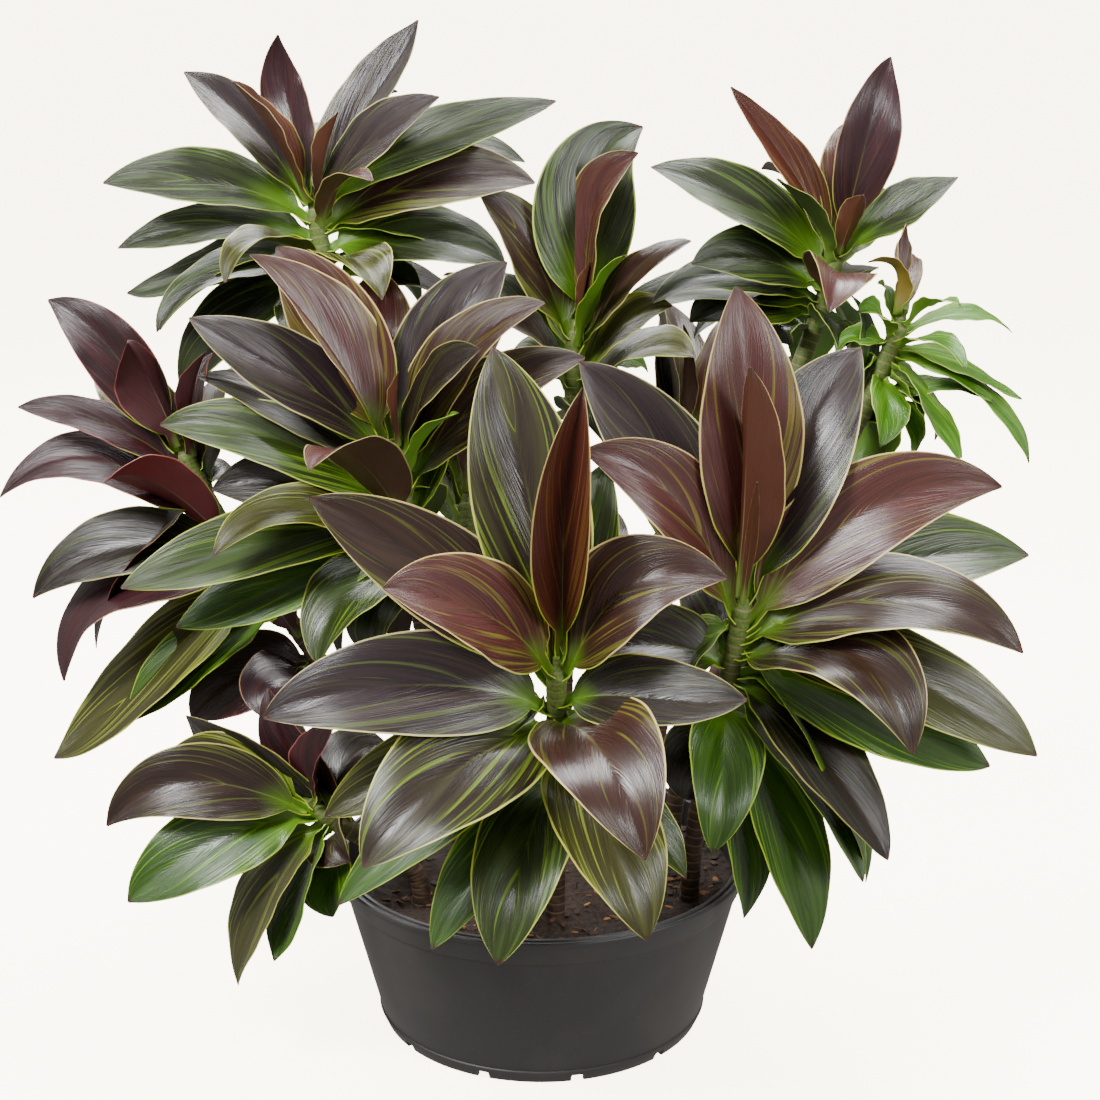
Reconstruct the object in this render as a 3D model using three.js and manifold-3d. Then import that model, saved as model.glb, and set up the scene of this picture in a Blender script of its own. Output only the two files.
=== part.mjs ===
// Potted cordyline: a bushy planting of leafy shoots in a round nursery pan.
// Millimetres, +Z up, -Y towards the viewer. The origin is the middle of the pot's underside.
import * as THREE from 'three';
import { mergeVertices } from 'three/addons/utils/BufferGeometryUtils.js';
import Module from 'manifold-3d';

const wasm = await Module();
wasm.setup();

// Pot
const POT_HEIGHT = 123;
const RIM_RADIUS = 150;
const RIM_WIDTH = 9;
const COLLAR_FOOT_RADIUS = 144;
const COLLAR_HEIGHT = 19;
const COLLAR_PROUD = 1.5;
const FOOT_RADIUS = 116;
const FOOT_HEIGHT = 10;
const FLOOR_HEIGHT = 11;
const EDGE_BEVEL = 1;
const WALL = 3;
const FOOT_WALL = 4;
const CENTRE_FOOT_RADIUS = 24;
const POT_SIDES = 36;
const NOTCH_COUNT = 11;
const NOTCH_FIRST_ANGLE = -143;
const NOTCH_WIDTH = 9;
const NOTCH_HEIGHT = 6;
const DRAIN_COUNT = 6;
const DRAIN_RADIUS = 6;
const DRAIN_SIDES = 8;
const DRAIN_CIRCLE_RADIUS = 78;

// Soil
const SOIL_LEVEL = 105;
const SOIL_RELIEF = 2.5;
const SOIL_RINGS = 3;
const SOIL_EDGE_DROP = 1;
const LUMP_PITCH = { across: 0.071, along: 0.083, slanted: 0.047 };
const LUMP_OFFSET = 1.3;
const GAP = 0.3;

// Canes
const CANE_RADIUS = 6.5;
const CANE_SIDES = 6;
const SHEATH_RADIUS = 9.5;
const SHEATH_STEPS = 3;
const CANE_DEPTH = 60;
const UPRIGHT_HEIGHT = 4;
const CANE_BEND_SHARE = 0.35;
const BARE_RING_PLACE = 0.55;
const SHEATH_SHOULDER = 0.12;
const BASE_SINK = 3;

// Leaves
const BLADE_THICKNESS = 0.9;
const BLADE_STATIONS = [0, 0.22, 0.46, 0.74, 1];
const PETIOLE_SHARE = 0.1;
const PETIOLE_HALF_WIDTH = 3.2;
const PETIOLE_WIDTH_SHARE = 0.22;
const PETIOLE_FOLD = 52;
const FOLD_SHARE = 0.3;
const TIP_HALF_WIDTH = 0.8;
const WIDEST_PLACE = 0.44;
const FULLNESS = 0.78;
const WAVE = 2.2;
const WAVE_RATE = 9;
const WAVE_OFFSET = 1.7;
const TWIST = 14;
const TWIST_STEP = 2.4;
const RISE_PLACE = 0.12;
const ARCH_PLACE = 0.7;
const ARCH_PULL = 1.35;
const FIRST_LEAF_DROP = 4;
const CROWDING = 1.5;
const YOUNG_RISE = 0.24;
const OLD_RISE = 0.1;

// Finishes; each shoot has a colour of its own below
const POT_COLOUR = 0x3b3a3b;
const POT_ROUGHNESS = 0.5;
const SOIL_COLOUR = 0x3a281c;
const SOIL_ROUGHNESS = 0.95;
const LEAF_ROUGHNESS = 0.35;

// The place that the shoots were measured from: where the eye is, how far it looks down,
// and the picture that it sees, whose points are given across and down from its top left corner.
const EYE = new THREE.Vector3(6, -1465, 792);
const EYE_PITCH = THREE.MathUtils.degToRad(16.8);
const PICTURE_MIDDLE = 550;
const PICTURE_FOCUS = 2200;

// Each shoot has its colour, its crown, the place where its cane leaves the soil, how far down the
// cane its leaves reach, and its leaves, youngest first. A leaf that the viewer sees has its tip in
// the picture, and how much nearer the viewer than the crown that tip is. A hidden one has the
// bearing, rise and reach of its tip from the crown. Then come the blade's width, how far it arches
// up, how far its face rolls towards the viewer and how far its halves fold up, in degrees.
const SHOOTS = [
  {
    name: 'shoot_front', colour: 0x5a4a3c, crown: [10, -140, 320], root: [10, -70], leafy: 100,
    seen: [
      { tip: [537, 562], nearer: 5, width: 12, arch: 2, roll: 0, fold: 50 },
      { tip: [583, 388], nearer: 20, width: 56, arch: 16, roll: 20, fold: 50 },
      { tip: [493, 347], nearer: -45, width: 76, arch: 14, roll: 10, fold: 12 },
      { tip: [383, 588], nearer: 75, width: 72, arch: 14, roll: 45, fold: 14 },
      { tip: [727, 578], nearer: 20, width: 68, arch: 44, roll: 35, fold: 16 },
      { tip: [310, 498], nearer: -25, width: 66, arch: 14, roll: 50, fold: 12 },
      { tip: [645, 860], nearer: 105, width: 80, arch: 46, roll: 0, fold: 14 },
      { tip: [747, 700], nearer: 60, width: 56, arch: -6, roll: 30, fold: 18 },
      { tip: [363, 868], nearer: 75, width: 84, arch: 30, roll: 15, fold: 12 },
      { tip: [263, 718], nearer: 25, width: 70, arch: 28, roll: 40, fold: 12 },
      { tip: [648, 941], nearer: 60, width: 72, arch: 26, roll: 0, fold: 12 },
      { tip: [498, 965], nearer: 62, width: 68, arch: 24, roll: 0, fold: 14 },
      { tip: [325, 817], nearer: 10, width: 54, arch: 16, roll: 25, fold: 16 },
      { tip: [432, 949], nearer: 35, width: 48, arch: 12, roll: 0, fold: 18 },
      { tip: [338, 905], nearer: 25, width: 48, arch: 10, roll: 20, fold: 18 },
      { tip: [686, 878], nearer: 12, width: 46, arch: 16, roll: 0, fold: 18 },
    ],
    hidden: [
      { bearing: 72, rise: 28, reach: 140, width: 60, arch: 24, roll: 0, fold: 14 },
      { bearing: 118, rise: 22, reach: 130, width: 58, arch: 24, roll: 0, fold: 14 },
    ],
  },
  {
    name: 'shoot_right', colour: 0x5f4440, crown: [137, -60, 340], root: [105, -45], leafy: 105,
    seen: [
      { tip: [757, 482], nearer: 38, width: 12, arch: 2, roll: 0, fold: 50 },
      { tip: [750, 367], nearer: 24, width: 54, arch: 0, roll: 0, fold: 40 },
      { tip: [736, 286], nearer: -25, width: 76, arch: 12, roll: 15, fold: 12 },
      { tip: [861, 348], nearer: -55, width: 76, arch: 24, roll: 20, fold: 14 },
      { tip: [579, 362], nearer: -55, width: 68, arch: 16, roll: 60, fold: 14 },
      { tip: [582, 451], nearer: 30, width: 62, arch: 32, roll: 55, fold: 14 },
      { tip: [1002, 487], nearer: -5, width: 68, arch: 44, roll: 50, fold: 12 },
      { tip: [1023, 653], nearer: 45, width: 76, arch: 46, roll: 35, fold: 12 },
      { tip: [913, 754], nearer: 80, width: 78, arch: 60, roll: 20, fold: 14 },
      { tip: [573, 662], nearer: -5, width: 58, arch: 18, roll: 40, fold: 14 },
      { tip: [1029, 555], nearer: -40, width: 80, arch: 22, roll: 40, fold: 14 },
      { tip: [888, 860], nearer: 55, width: 74, arch: 12, roll: 0, fold: 12 },
      { tip: [712, 853], nearer: 75, width: 54, arch: 26, roll: 0, fold: 16 },
      { tip: [863, 882], nearer: 40, width: 78, arch: 12, roll: 0, fold: 14 },
      { tip: [1037, 756], nearer: 15, width: 68, arch: 20, roll: 35, fold: 12 },
      { tip: [744, 918], nearer: 35, width: 54, arch: 14, roll: 0, fold: 16 },
      { tip: [812, 949], nearer: 45, width: 74, arch: 12, roll: 0, fold: 14 },
      { tip: [990, 766], nearer: -15, width: 78, arch: 2, roll: 35, fold: 14 },
      { tip: [688, 800], nearer: 20, width: 54, arch: 26, roll: 0, fold: 16 },
    ],
    hidden: [
      { bearing: 72, rise: 48, reach: 150, width: 62, arch: 24, roll: 0, fold: 14 },
    ],
  },
  {
    name: 'shoot_left', colour: 0x5c4440, crown: [-104, 20, 424], root: [-45, 5], leafy: 90,
    seen: [
      { tip: [398, 372], nearer: 8, width: 12, arch: 2, roll: 0, fold: 50 },
      { tip: [250, 255], nearer: 8, width: 72, arch: 8, roll: 45, fold: 36 },
      { tip: [276, 247], nearer: -35, width: 64, arch: 14, roll: 50, fold: 12 },
      { tip: [507, 262], nearer: -48, width: 60, arch: 16, roll: 50, fold: 14 },
      { tip: [309, 470], nearer: 105, width: 56, arch: 36, roll: 0, fold: 16 },
      { tip: [545, 303], nearer: 20, width: 64, arch: 28, roll: 45, fold: 14 },
      { tip: [458, 413], nearer: 60, width: 22, arch: 10, roll: 0, fold: 20 },
      { tip: [189, 318], nearer: 24, width: 60, arch: 4, roll: 45, fold: 14 },
      { tip: [480, 350], nearer: 45, width: 54, arch: 18, roll: 40, fold: 16 },
      { tip: [213, 556], nearer: 64, width: 52, arch: 40, roll: 35, fold: 16 },
      { tip: [160, 425], nearer: -20, width: 56, arch: 22, roll: 40, fold: 14 },
      { tip: [585, 358], nearer: 5, width: 56, arch: 22, roll: 40, fold: 14 },
      { tip: [121, 588], nearer: 52, width: 58, arch: 8, roll: 45, fold: 14 },
      { tip: [176, 627], nearer: 25, width: 60, arch: 2, roll: 45, fold: 14 },
      { tip: [318, 665], nearer: 70, width: 72, arch: 26, roll: 20, fold: 12 },
      { tip: [212, 490], nearer: -22, width: 58, arch: 20, roll: 50, fold: 14 },
      { tip: [380, 660], nearer: 35, width: 64, arch: 24, roll: 20, fold: 14 },
    ],
    hidden: [
      { bearing: 100, rise: 46, reach: 140, width: 58, arch: 22, roll: 0, fold: 14 },
      { bearing: 128, rise: 30, reach: 145, width: 58, arch: 26, roll: 0, fold: 14 },
      { bearing: 50, rise: 15, reach: 130, width: 56, arch: 24, roll: 0, fold: 14 },
    ],
  },
  {
    name: 'shoot_top_left', colour: 0x55433c, crown: [-166, 130, 578], root: [-70, 70], leafy: 60,
    seen: [
      { tip: [338, 112], nearer: 14, width: 20, arch: 3, roll: 0, fold: 45 },
      { tip: [278, 35], nearer: -35, width: 46, arch: -30, roll: 45, fold: 16 },
      { tip: [418, 20], nearer: -32, width: 50, arch: -4, roll: 55, fold: 28 },
      { tip: [233, 81], nearer: 30, width: 54, arch: 3, roll: 50, fold: 24 },
      { tip: [439, 97], nearer: 42, width: 54, arch: 6, roll: 50, fold: 14 },
      { tip: [184, 72], nearer: -18, width: 42, arch: 9, roll: 45, fold: 14 },
      { tip: [373, 181], nearer: 70, width: 28, arch: 20, roll: 0, fold: 20 },
      { tip: [103, 183], nearer: 10, width: 54, arch: 14, roll: 40, fold: 14 },
      { tip: [225, 283], nearer: 70, width: 46, arch: 34, roll: 15, fold: 18 },
      { tip: [535, 183], nearer: 15, width: 58, arch: 20, roll: 50, fold: 14 },
      { tip: [382, 300], nearer: 85, width: 56, arch: 28, roll: 0, fold: 16 },
      { tip: [556, 101], nearer: -15, width: 46, arch: 8, roll: 45, fold: 14 },
      { tip: [118, 248], nearer: -10, width: 42, arch: 11, roll: 40, fold: 14 },
      { tip: [505, 264], nearer: 25, width: 64, arch: 16, roll: 45, fold: 14 },
      { tip: [525, 162], nearer: -78, width: 58, arch: 34, roll: 30, fold: 14 },
      { tip: [127, 293], nearer: -22, width: 42, arch: -5, roll: 40, fold: 14 },
      { tip: [157, 332], nearer: 32, width: 62, arch: 26, roll: 30, fold: 16 },
      { tip: [290, 335], nearer: 55, width: 38, arch: 16, roll: 0, fold: 18 },
      { tip: [182, 392], nearer: -10, width: 64, arch: 20, roll: 50, fold: 14 },
      { tip: [470, 325], nearer: -25, width: 60, arch: 22, roll: 20, fold: 14 },
    ],
    hidden: [
      { bearing: 60, rise: 30, reach: 130, width: 48, arch: 20, roll: 0, fold: 14 },
      { bearing: 98, rise: 15, reach: 135, width: 48, arch: 22, roll: 0, fold: 14 },
      { bearing: 75, rise: -12, reach: 125, width: 46, arch: 20, roll: 0, fold: 14 },
    ],
  },
  {
    name: 'shoot_top_middle', colour: 0x564a38, crown: [24, 110, 491], root: [15, 60], leafy: 65,
    seen: [
      { tip: [590, 262], nearer: 18, width: 12, arch: 2, roll: 0, fold: 50 },
      { tip: [638, 153], nearer: 14, width: 56, arch: 30, roll: 60, fold: 20 },
      { tip: [643, 127], nearer: -45, width: 76, arch: 46, roll: 62, fold: 12 },
      { tip: [478, 190], nearer: -5, width: 62, arch: 12, roll: 55, fold: 14 },
      { tip: [625, 255], nearer: 60, width: 20, arch: 8, roll: 20, fold: 20 },
      { tip: [691, 241], nearer: 50, width: 58, arch: 8, roll: 45, fold: 16 },
      { tip: [484, 322], nearer: 35, width: 54, arch: 22, roll: 40, fold: 16 },
      { tip: [695, 357], nearer: 68, width: 60, arch: 28, roll: 40, fold: 14 },
      { tip: [602, 440], nearer: 70, width: 50, arch: 26, roll: 0, fold: 16 },
      { tip: [672, 306], nearer: 20, width: 48, arch: 16, roll: 40, fold: 16 },
    ],
    hidden: [
      { bearing: 70, rise: 52, reach: 135, width: 56, arch: 18, roll: 0, fold: 14 },
      { bearing: 118, rise: 28, reach: 140, width: 56, arch: 22, roll: 0, fold: 14 },
      { bearing: 88, rise: 8, reach: 140, width: 54, arch: 24, roll: 0, fold: 14 },
      { bearing: 140, rise: 8, reach: 130, width: 54, arch: 24, roll: 0, fold: 14 },
      { bearing: 60, rise: -15, reach: 125, width: 50, arch: 22, roll: 0, fold: 14 },
    ],
  },
  {
    name: 'shoot_top_right', colour: 0x5b4f40, crown: [215, 120, 544], root: [80, 75], leafy: 60,
    seen: [
      { tip: [863, 195], nearer: 26, width: 24, arch: 3, roll: 0, fold: 45 },
      { tip: [891, 57], nearer: -28, width: 48, arch: 24, roll: 25, fold: 14 },
      { tip: [731, 87], nearer: -35, width: 34, arch: 2, roll: 45, fold: 34 },
      { tip: [777, 179], nearer: 40, width: 42, arch: 4, roll: 20, fold: 18 },
      { tip: [958, 177], nearer: 30, width: 50, arch: -3, roll: 50, fold: 14 },
      { tip: [829, 312], nearer: 100, width: 56, arch: 36, roll: 0, fold: 16 },
      { tip: [651, 167], nearer: 5, width: 60, arch: 10, roll: 50, fold: 14 },
      { tip: [692, 264], nearer: 18, width: 54, arch: 16, roll: 40, fold: 16 },
      { tip: [653, 303], nearer: 25, width: 46, arch: 26, roll: 35, fold: 14 },
      { tip: [840, 350], nearer: 60, width: 42, arch: 20, roll: 0, fold: 18 },
      { tip: [690, 322], nearer: 0, width: 54, arch: 18, roll: 40, fold: 14 },
      { tip: [610, 322], nearer: 0, width: 50, arch: 24, roll: 40, fold: 16 },
      { tip: [792, 345], nearer: 10, width: 50, arch: 20, roll: 0, fold: 16 },
    ],
    hidden: [
      { bearing: 78, rise: 50, reach: 105, width: 50, arch: 16, roll: 0, fold: 14 },
      { bearing: 120, rise: 24, reach: 108, width: 50, arch: 20, roll: 0, fold: 14 },
      { bearing: 60, rise: 10, reach: 125, width: 52, arch: 22, roll: 0, fold: 14 },
      { bearing: 92, rise: 2, reach: 135, width: 50, arch: 24, roll: 0, fold: 14 },
      { bearing: 75, rise: -24, reach: 112, width: 46, arch: 20, roll: 0, fold: 14 },
    ],
  },
  {
    name: 'shoot_far_right', colour: 0x4c6a2a, crown: [255, 60, 508], root: [95, 25], leafy: 60,
    seen: [
      { tip: [907, 222], nearer: -16, width: 20, arch: -6, roll: 0, fold: 28 },
      { tip: [868, 262], nearer: 10, width: 24, arch: 22, roll: 0, fold: 26 },
      { tip: [960, 305], nearer: 40, width: 20, arch: 10, roll: 20, fold: 18 },
      { tip: [878, 283], nearer: -32, width: 24, arch: 8, roll: 0, fold: 20 },
      { tip: [1012, 332], nearer: -20, width: 20, arch: 16, roll: 20, fold: 16 },
      { tip: [965, 369], nearer: 60, width: 28, arch: 14, roll: 20, fold: 16 },
      { tip: [1022, 399], nearer: -10, width: 24, arch: 0, roll: 20, fold: 16 },
      { tip: [858, 312], nearer: 20, width: 30, arch: 10, roll: 10, fold: 20 },
      { tip: [1029, 463], nearer: 10, width: 38, arch: 20, roll: 20, fold: 14 },
      { tip: [960, 462], nearer: 50, width: 46, arch: 0, roll: 0, fold: 14 },
      { tip: [880, 447], nearer: 60, width: 34, arch: 12, roll: 0, fold: 16 },
      { tip: [912, 455], nearer: 35, width: 34, arch: 10, roll: 0, fold: 16 },
      { tip: [852, 468], nearer: -10, width: 50, arch: 16, roll: 10, fold: 16 },
      { tip: [935, 440], nearer: -30, width: 40, arch: 16, roll: 20, fold: 16 },
    ],
    hidden: [
      { bearing: 85, rise: 15, reach: 105, width: 22, arch: 14, roll: 0, fold: 18 },
    ],
  },
  {
    name: 'shoot_far_left', colour: 0x45262a, crown: [-259, 60, 414], root: [-105, 20], leafy: 200,
    seen: [
      { tip: [205, 352], nearer: 8, width: 24, arch: 6, roll: 0, fold: 45 },
      { tip: [127, 343], nearer: 26, width: 50, arch: 12, roll: 40, fold: 34 },
      { tip: [48, 300], nearer: -35, width: 48, arch: 19, roll: 50, fold: 14 },
      { tip: [105, 482], nearer: 80, width: 48, arch: 28, roll: 10, fold: 18 },
      { tip: [18, 407], nearer: -5, width: 35, arch: 12, roll: 45, fold: 14 },
      { tip: [215, 545], nearer: 44, width: 36, arch: 22, roll: 0, fold: 18 },
      { tip: [0, 497], nearer: 0, width: 54, arch: 48, roll: 45, fold: 12 },
      { tip: [33, 598], nearer: 5, width: 56, arch: 30, roll: 45, fold: 14 },
      { tip: [268, 720], nearer: 66, width: 80, arch: 30, roll: 30, fold: 12 },
      { tip: [64, 681], nearer: 20, width: 68, arch: 54, roll: 40, fold: 14 },
      { tip: [192, 720], nearer: 8, width: 62, arch: 14, roll: 50, fold: 12 },
      { tip: [54, 758], nearer: 20, width: 78, arch: -6, roll: 50, fold: 12 },
      { tip: [128, 722], nearer: 30, width: 56, arch: 10, roll: 45, fold: 14 },
    ],
    hidden: [
      { bearing: 75, rise: 15, reach: 120, width: 50, arch: 20, roll: 0, fold: 14 },
      { bearing: 125, rise: 10, reach: 130, width: 52, arch: 24, roll: 0, fold: 14 },
    ],
  },
  {
    name: 'shoot_low_left', colour: 0x584a30, crown: [-160, -60, 187], root: [-85, -45], leafy: 30,
    seen: [
      { tip: [333, 728], nearer: 10, width: 44, arch: 6, roll: 30, fold: 30 },
      { tip: [157, 787], nearer: -32, width: 52, arch: 36, roll: 45, fold: 14 },
      { tip: [107, 826], nearer: 0, width: 54, arch: 42, roll: 45, fold: 14 },
      { tip: [350, 862], nearer: 42, width: 50, arch: 16, roll: 0, fold: 16 },
      { tip: [128, 902], nearer: 20, width: 64, arch: 13, roll: 45, fold: 12 },
      { tip: [274, 961], nearer: 48, width: 68, arch: -4, roll: 0, fold: 14 },
      { tip: [238, 985], nearer: 35, width: 66, arch: 12, roll: 20, fold: 14 },
      { tip: [333, 917], nearer: 30, width: 64, arch: 8, roll: 10, fold: 16 },
      { tip: [385, 742], nearer: -40, width: 56, arch: 16, roll: 30, fold: 16 },
    ],
    hidden: [
      { bearing: 105, rise: 22, reach: 82, width: 40, arch: 16, roll: 0, fold: 16 },
    ],
  },
  {
    name: 'shoot_back_left', colour: 0x46522c, crown: [-60, 185, 345], root: [-40, 85], leafy: 80,
    seen: [],
    hidden: [
      { bearing: 85, rise: 80, reach: 90, width: 22, arch: 4, roll: 0, fold: 45 },
      { bearing: 60, rise: 62, reach: 130, width: 54, arch: 12, roll: 0, fold: 18 },
      { bearing: 138, rise: 50, reach: 140, width: 56, arch: 18, roll: 0, fold: 14 },
      { bearing: 90, rise: 34, reach: 150, width: 58, arch: 24, roll: 0, fold: 14 },
      { bearing: 165, rise: 28, reach: 130, width: 54, arch: 24, roll: 0, fold: 14 },
      { bearing: 40, rise: 18, reach: 130, width: 54, arch: 24, roll: 0, fold: 14 },
      { bearing: 112, rise: 8, reach: 150, width: 56, arch: 28, roll: 0, fold: 14 },
      { bearing: 72, rise: -12, reach: 145, width: 56, arch: 28, roll: 0, fold: 14 },
      { bearing: 145, rise: -18, reach: 135, width: 54, arch: 26, roll: 0, fold: 14 },
      { bearing: 98, rise: -34, reach: 130, width: 52, arch: 24, roll: 0, fold: 14 },
    ],
  },
  {
    name: 'shoot_back_right', colour: 0x48502e, crown: [110, 190, 380], root: [45, 90], leafy: 80,
    seen: [],
    hidden: [
      { bearing: 95, rise: 80, reach: 90, width: 22, arch: 4, roll: 0, fold: 45 },
      { bearing: 120, rise: 62, reach: 130, width: 54, arch: 12, roll: 0, fold: 18 },
      { bearing: 42, rise: 50, reach: 140, width: 56, arch: 18, roll: 0, fold: 14 },
      { bearing: 95, rise: 36, reach: 150, width: 58, arch: 24, roll: 0, fold: 14 },
      { bearing: 18, rise: 28, reach: 130, width: 54, arch: 24, roll: 0, fold: 14 },
      { bearing: 138, rise: 18, reach: 130, width: 54, arch: 24, roll: 0, fold: 14 },
      { bearing: 70, rise: 8, reach: 150, width: 56, arch: 28, roll: 0, fold: 14 },
      { bearing: 108, rise: -12, reach: 145, width: 56, arch: 28, roll: 0, fold: 14 },
      { bearing: 35, rise: -18, reach: 135, width: 54, arch: 26, roll: 0, fold: 14 },
      { bearing: 82, rise: -34, reach: 130, width: 52, arch: 24, roll: 0, fold: 14 },
    ],
  },
];

const rad = THREE.MathUtils.degToRad;

const MERGE_DISTANCE = 1e-4;

// A closed solid from a geometry, with only positions left and shared corners merged.
function solidOf(geometry) {
  const bare = geometry.clone();
  bare.deleteAttribute('normal');
  bare.deleteAttribute('uv');
  const merged = mergeVertices(bare, MERGE_DISTANCE);
  return new wasm.Manifold(new wasm.Mesh({
    numProp: 3,
    vertProperties: new Float32Array(merged.attributes.position.array),
    triVerts: new Uint32Array(merged.index.array),
  }));
}

function geometryOf(solid) {
  const mesh = solid.getMesh();
  const geometry = new THREE.BufferGeometry();
  geometry.setAttribute('position', new THREE.BufferAttribute(mesh.vertProperties, 3));
  geometry.setIndex(new THREE.BufferAttribute(mesh.triVerts, 1));
  geometry.computeVertexNormals();
  return geometry;
}

// A lathe turned so that its axis is Z. The profile is a list of [radius, height].
function turned(profile, sides) {
  const points = profile.map(([radius, height]) => new THREE.Vector2(radius, height));
  const geometry = new THREE.LatheGeometry(points, sides);
  geometry.rotateX(Math.PI / 2);
  return geometry;
}

// The point on the sight line through a point of the picture, at a given depth y.
function sightPoint(across, down, y) {
  const right = (across - PICTURE_MIDDLE) / PICTURE_FOCUS;
  const fall = (down - PICTURE_MIDDLE) / PICTURE_FOCUS;
  const ahead = Math.cos(EYE_PITCH) - fall * Math.sin(EYE_PITCH);
  const rise = -Math.sin(EYE_PITCH) - fall * Math.cos(EYE_PITCH);
  const range = (y - EYE.y) / ahead;
  return new THREE.Vector3(EYE.x + right * range, y, EYE.z + rise * range);
}

// The cane above the soil: upright where it leaves the soil, and leaning out to its crown.
function caneCurve(shoot) {
  const root = new THREE.Vector3(...shoot.root, SOIL_LEVEL + UPRIGHT_HEIGHT);
  const crown = new THREE.Vector3(...shoot.crown);
  const bend = crown.distanceTo(root) * CANE_BEND_SHARE;
  const upright = new THREE.Vector3(0, 0, bend);
  const lean = crown.clone().sub(root).add(upright).normalize();
  return new THREE.CubicBezierCurve3(
    root,
    root.clone().add(upright),
    crown.clone().addScaledVector(lean, -bend),
    crown,
  );
}

// Places of the leaves of a shoot: where each leaves the cane, its tip, and how its blade lies.
// The upright leaves are the youngest and stand closest to the crown, the hanging ones the oldest.
function leavesOf(shoot) {
  const cane = caneCurve(shoot);
  const length = cane.getLength();
  const crown = new THREE.Vector3(...shoot.crown);
  const top = cane.getTangent(1);
  const seen = shoot.seen.map(({ tip, nearer, ...form }) => (
    { tip: sightPoint(...tip, crown.y - nearer), form }));
  const hidden = shoot.hidden.map(({ bearing, rise, reach, ...form }) => {
    const level = Math.cos(rad(rise));
    const heading = new THREE.Vector3(
      Math.cos(rad(bearing)) * level, Math.sin(rad(bearing)) * level, Math.sin(rad(rise)));
    return { tip: heading.multiplyScalar(reach).add(crown), form };
  });
  const leaves = [...seen, ...hidden];
  for (const leaf of leaves) leaf.slope = leaf.tip.clone().sub(crown).angleTo(top);
  const byAge = [...leaves].sort((first, second) => first.slope - second.slope);
  return leaves.map(({ tip, form }, index) => {
    const age = byAge.indexOf(leaves[index]) / (leaves.length - 1);
    const place = 1 - (FIRST_LEAF_DROP + shoot.leafy * Math.pow(age, CROWDING)) / length;
    const axis = cane.getTangent(place);
    const outward = tip.clone().sub(cane.getPoint(place));
    outward.addScaledVector(axis, -outward.dot(axis)).normalize();
    const base = cane.getPoint(place).addScaledVector(outward, SHEATH_RADIUS - BASE_SINK);
    return { base, axis, tip, age, index, ...form };
  });
}

// Half the blade's width along its length: a petiole, then a lance shape with a drawn-out tip.
function halfWidth(t, width) {
  const s = Math.max(0, (t - PETIOLE_SHARE) / (1 - PETIOLE_SHARE));
  const rise = Math.pow(s / WIDEST_PLACE, WIDEST_PLACE * 2);
  const fall = Math.pow((1 - s) / (1 - WIDEST_PLACE), (1 - WIDEST_PLACE) * 2);
  const petiole = Math.min(PETIOLE_HALF_WIDTH, width * PETIOLE_WIDTH_SHARE) * (1 - s);
  return Math.max(width / 2 * Math.pow(rise * fall, FULLNESS), petiole, TIP_HALF_WIDTH);
}

// The skin over rings of corners that follow each other, closed by a flat fan at each end.
// The diagonals lean the same way on the upper and the lower half of a ring, and so on both faces of a blade.
function ringedGeometry(positions, corners) {
  const indices = [];
  const last = positions.length / 3 / corners - 1;
  for (let ring = 0; ring < last; ring += 1) {
    for (let corner = 0; corner < corners; corner += 1) {
      const next = (corner + 1) % corners;
      const [a, b, c, d] = [
        ring * corners + corner, ring * corners + next,
        (ring + 1) * corners + next, (ring + 1) * corners + corner,
      ];
      if (corner >= corners / 2) indices.push(a, b, c, a, c, d);
      else indices.push(a, b, d, b, c, d);
    }
  }
  const end = last * corners;
  for (const [a, b, c, d] of [[0, 1, 4, 5], [1, 2, 3, 4]]) {
    indices.push(a, c, b, a, d, c);
    indices.push(end + a, end + b, end + c, end + a, end + c, end + d);
  }
  const geometry = new THREE.BufferGeometry();
  geometry.setAttribute('position', new THREE.Float32BufferAttribute(positions, 3));
  geometry.setIndex(indices);
  return geometry;
}

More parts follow.
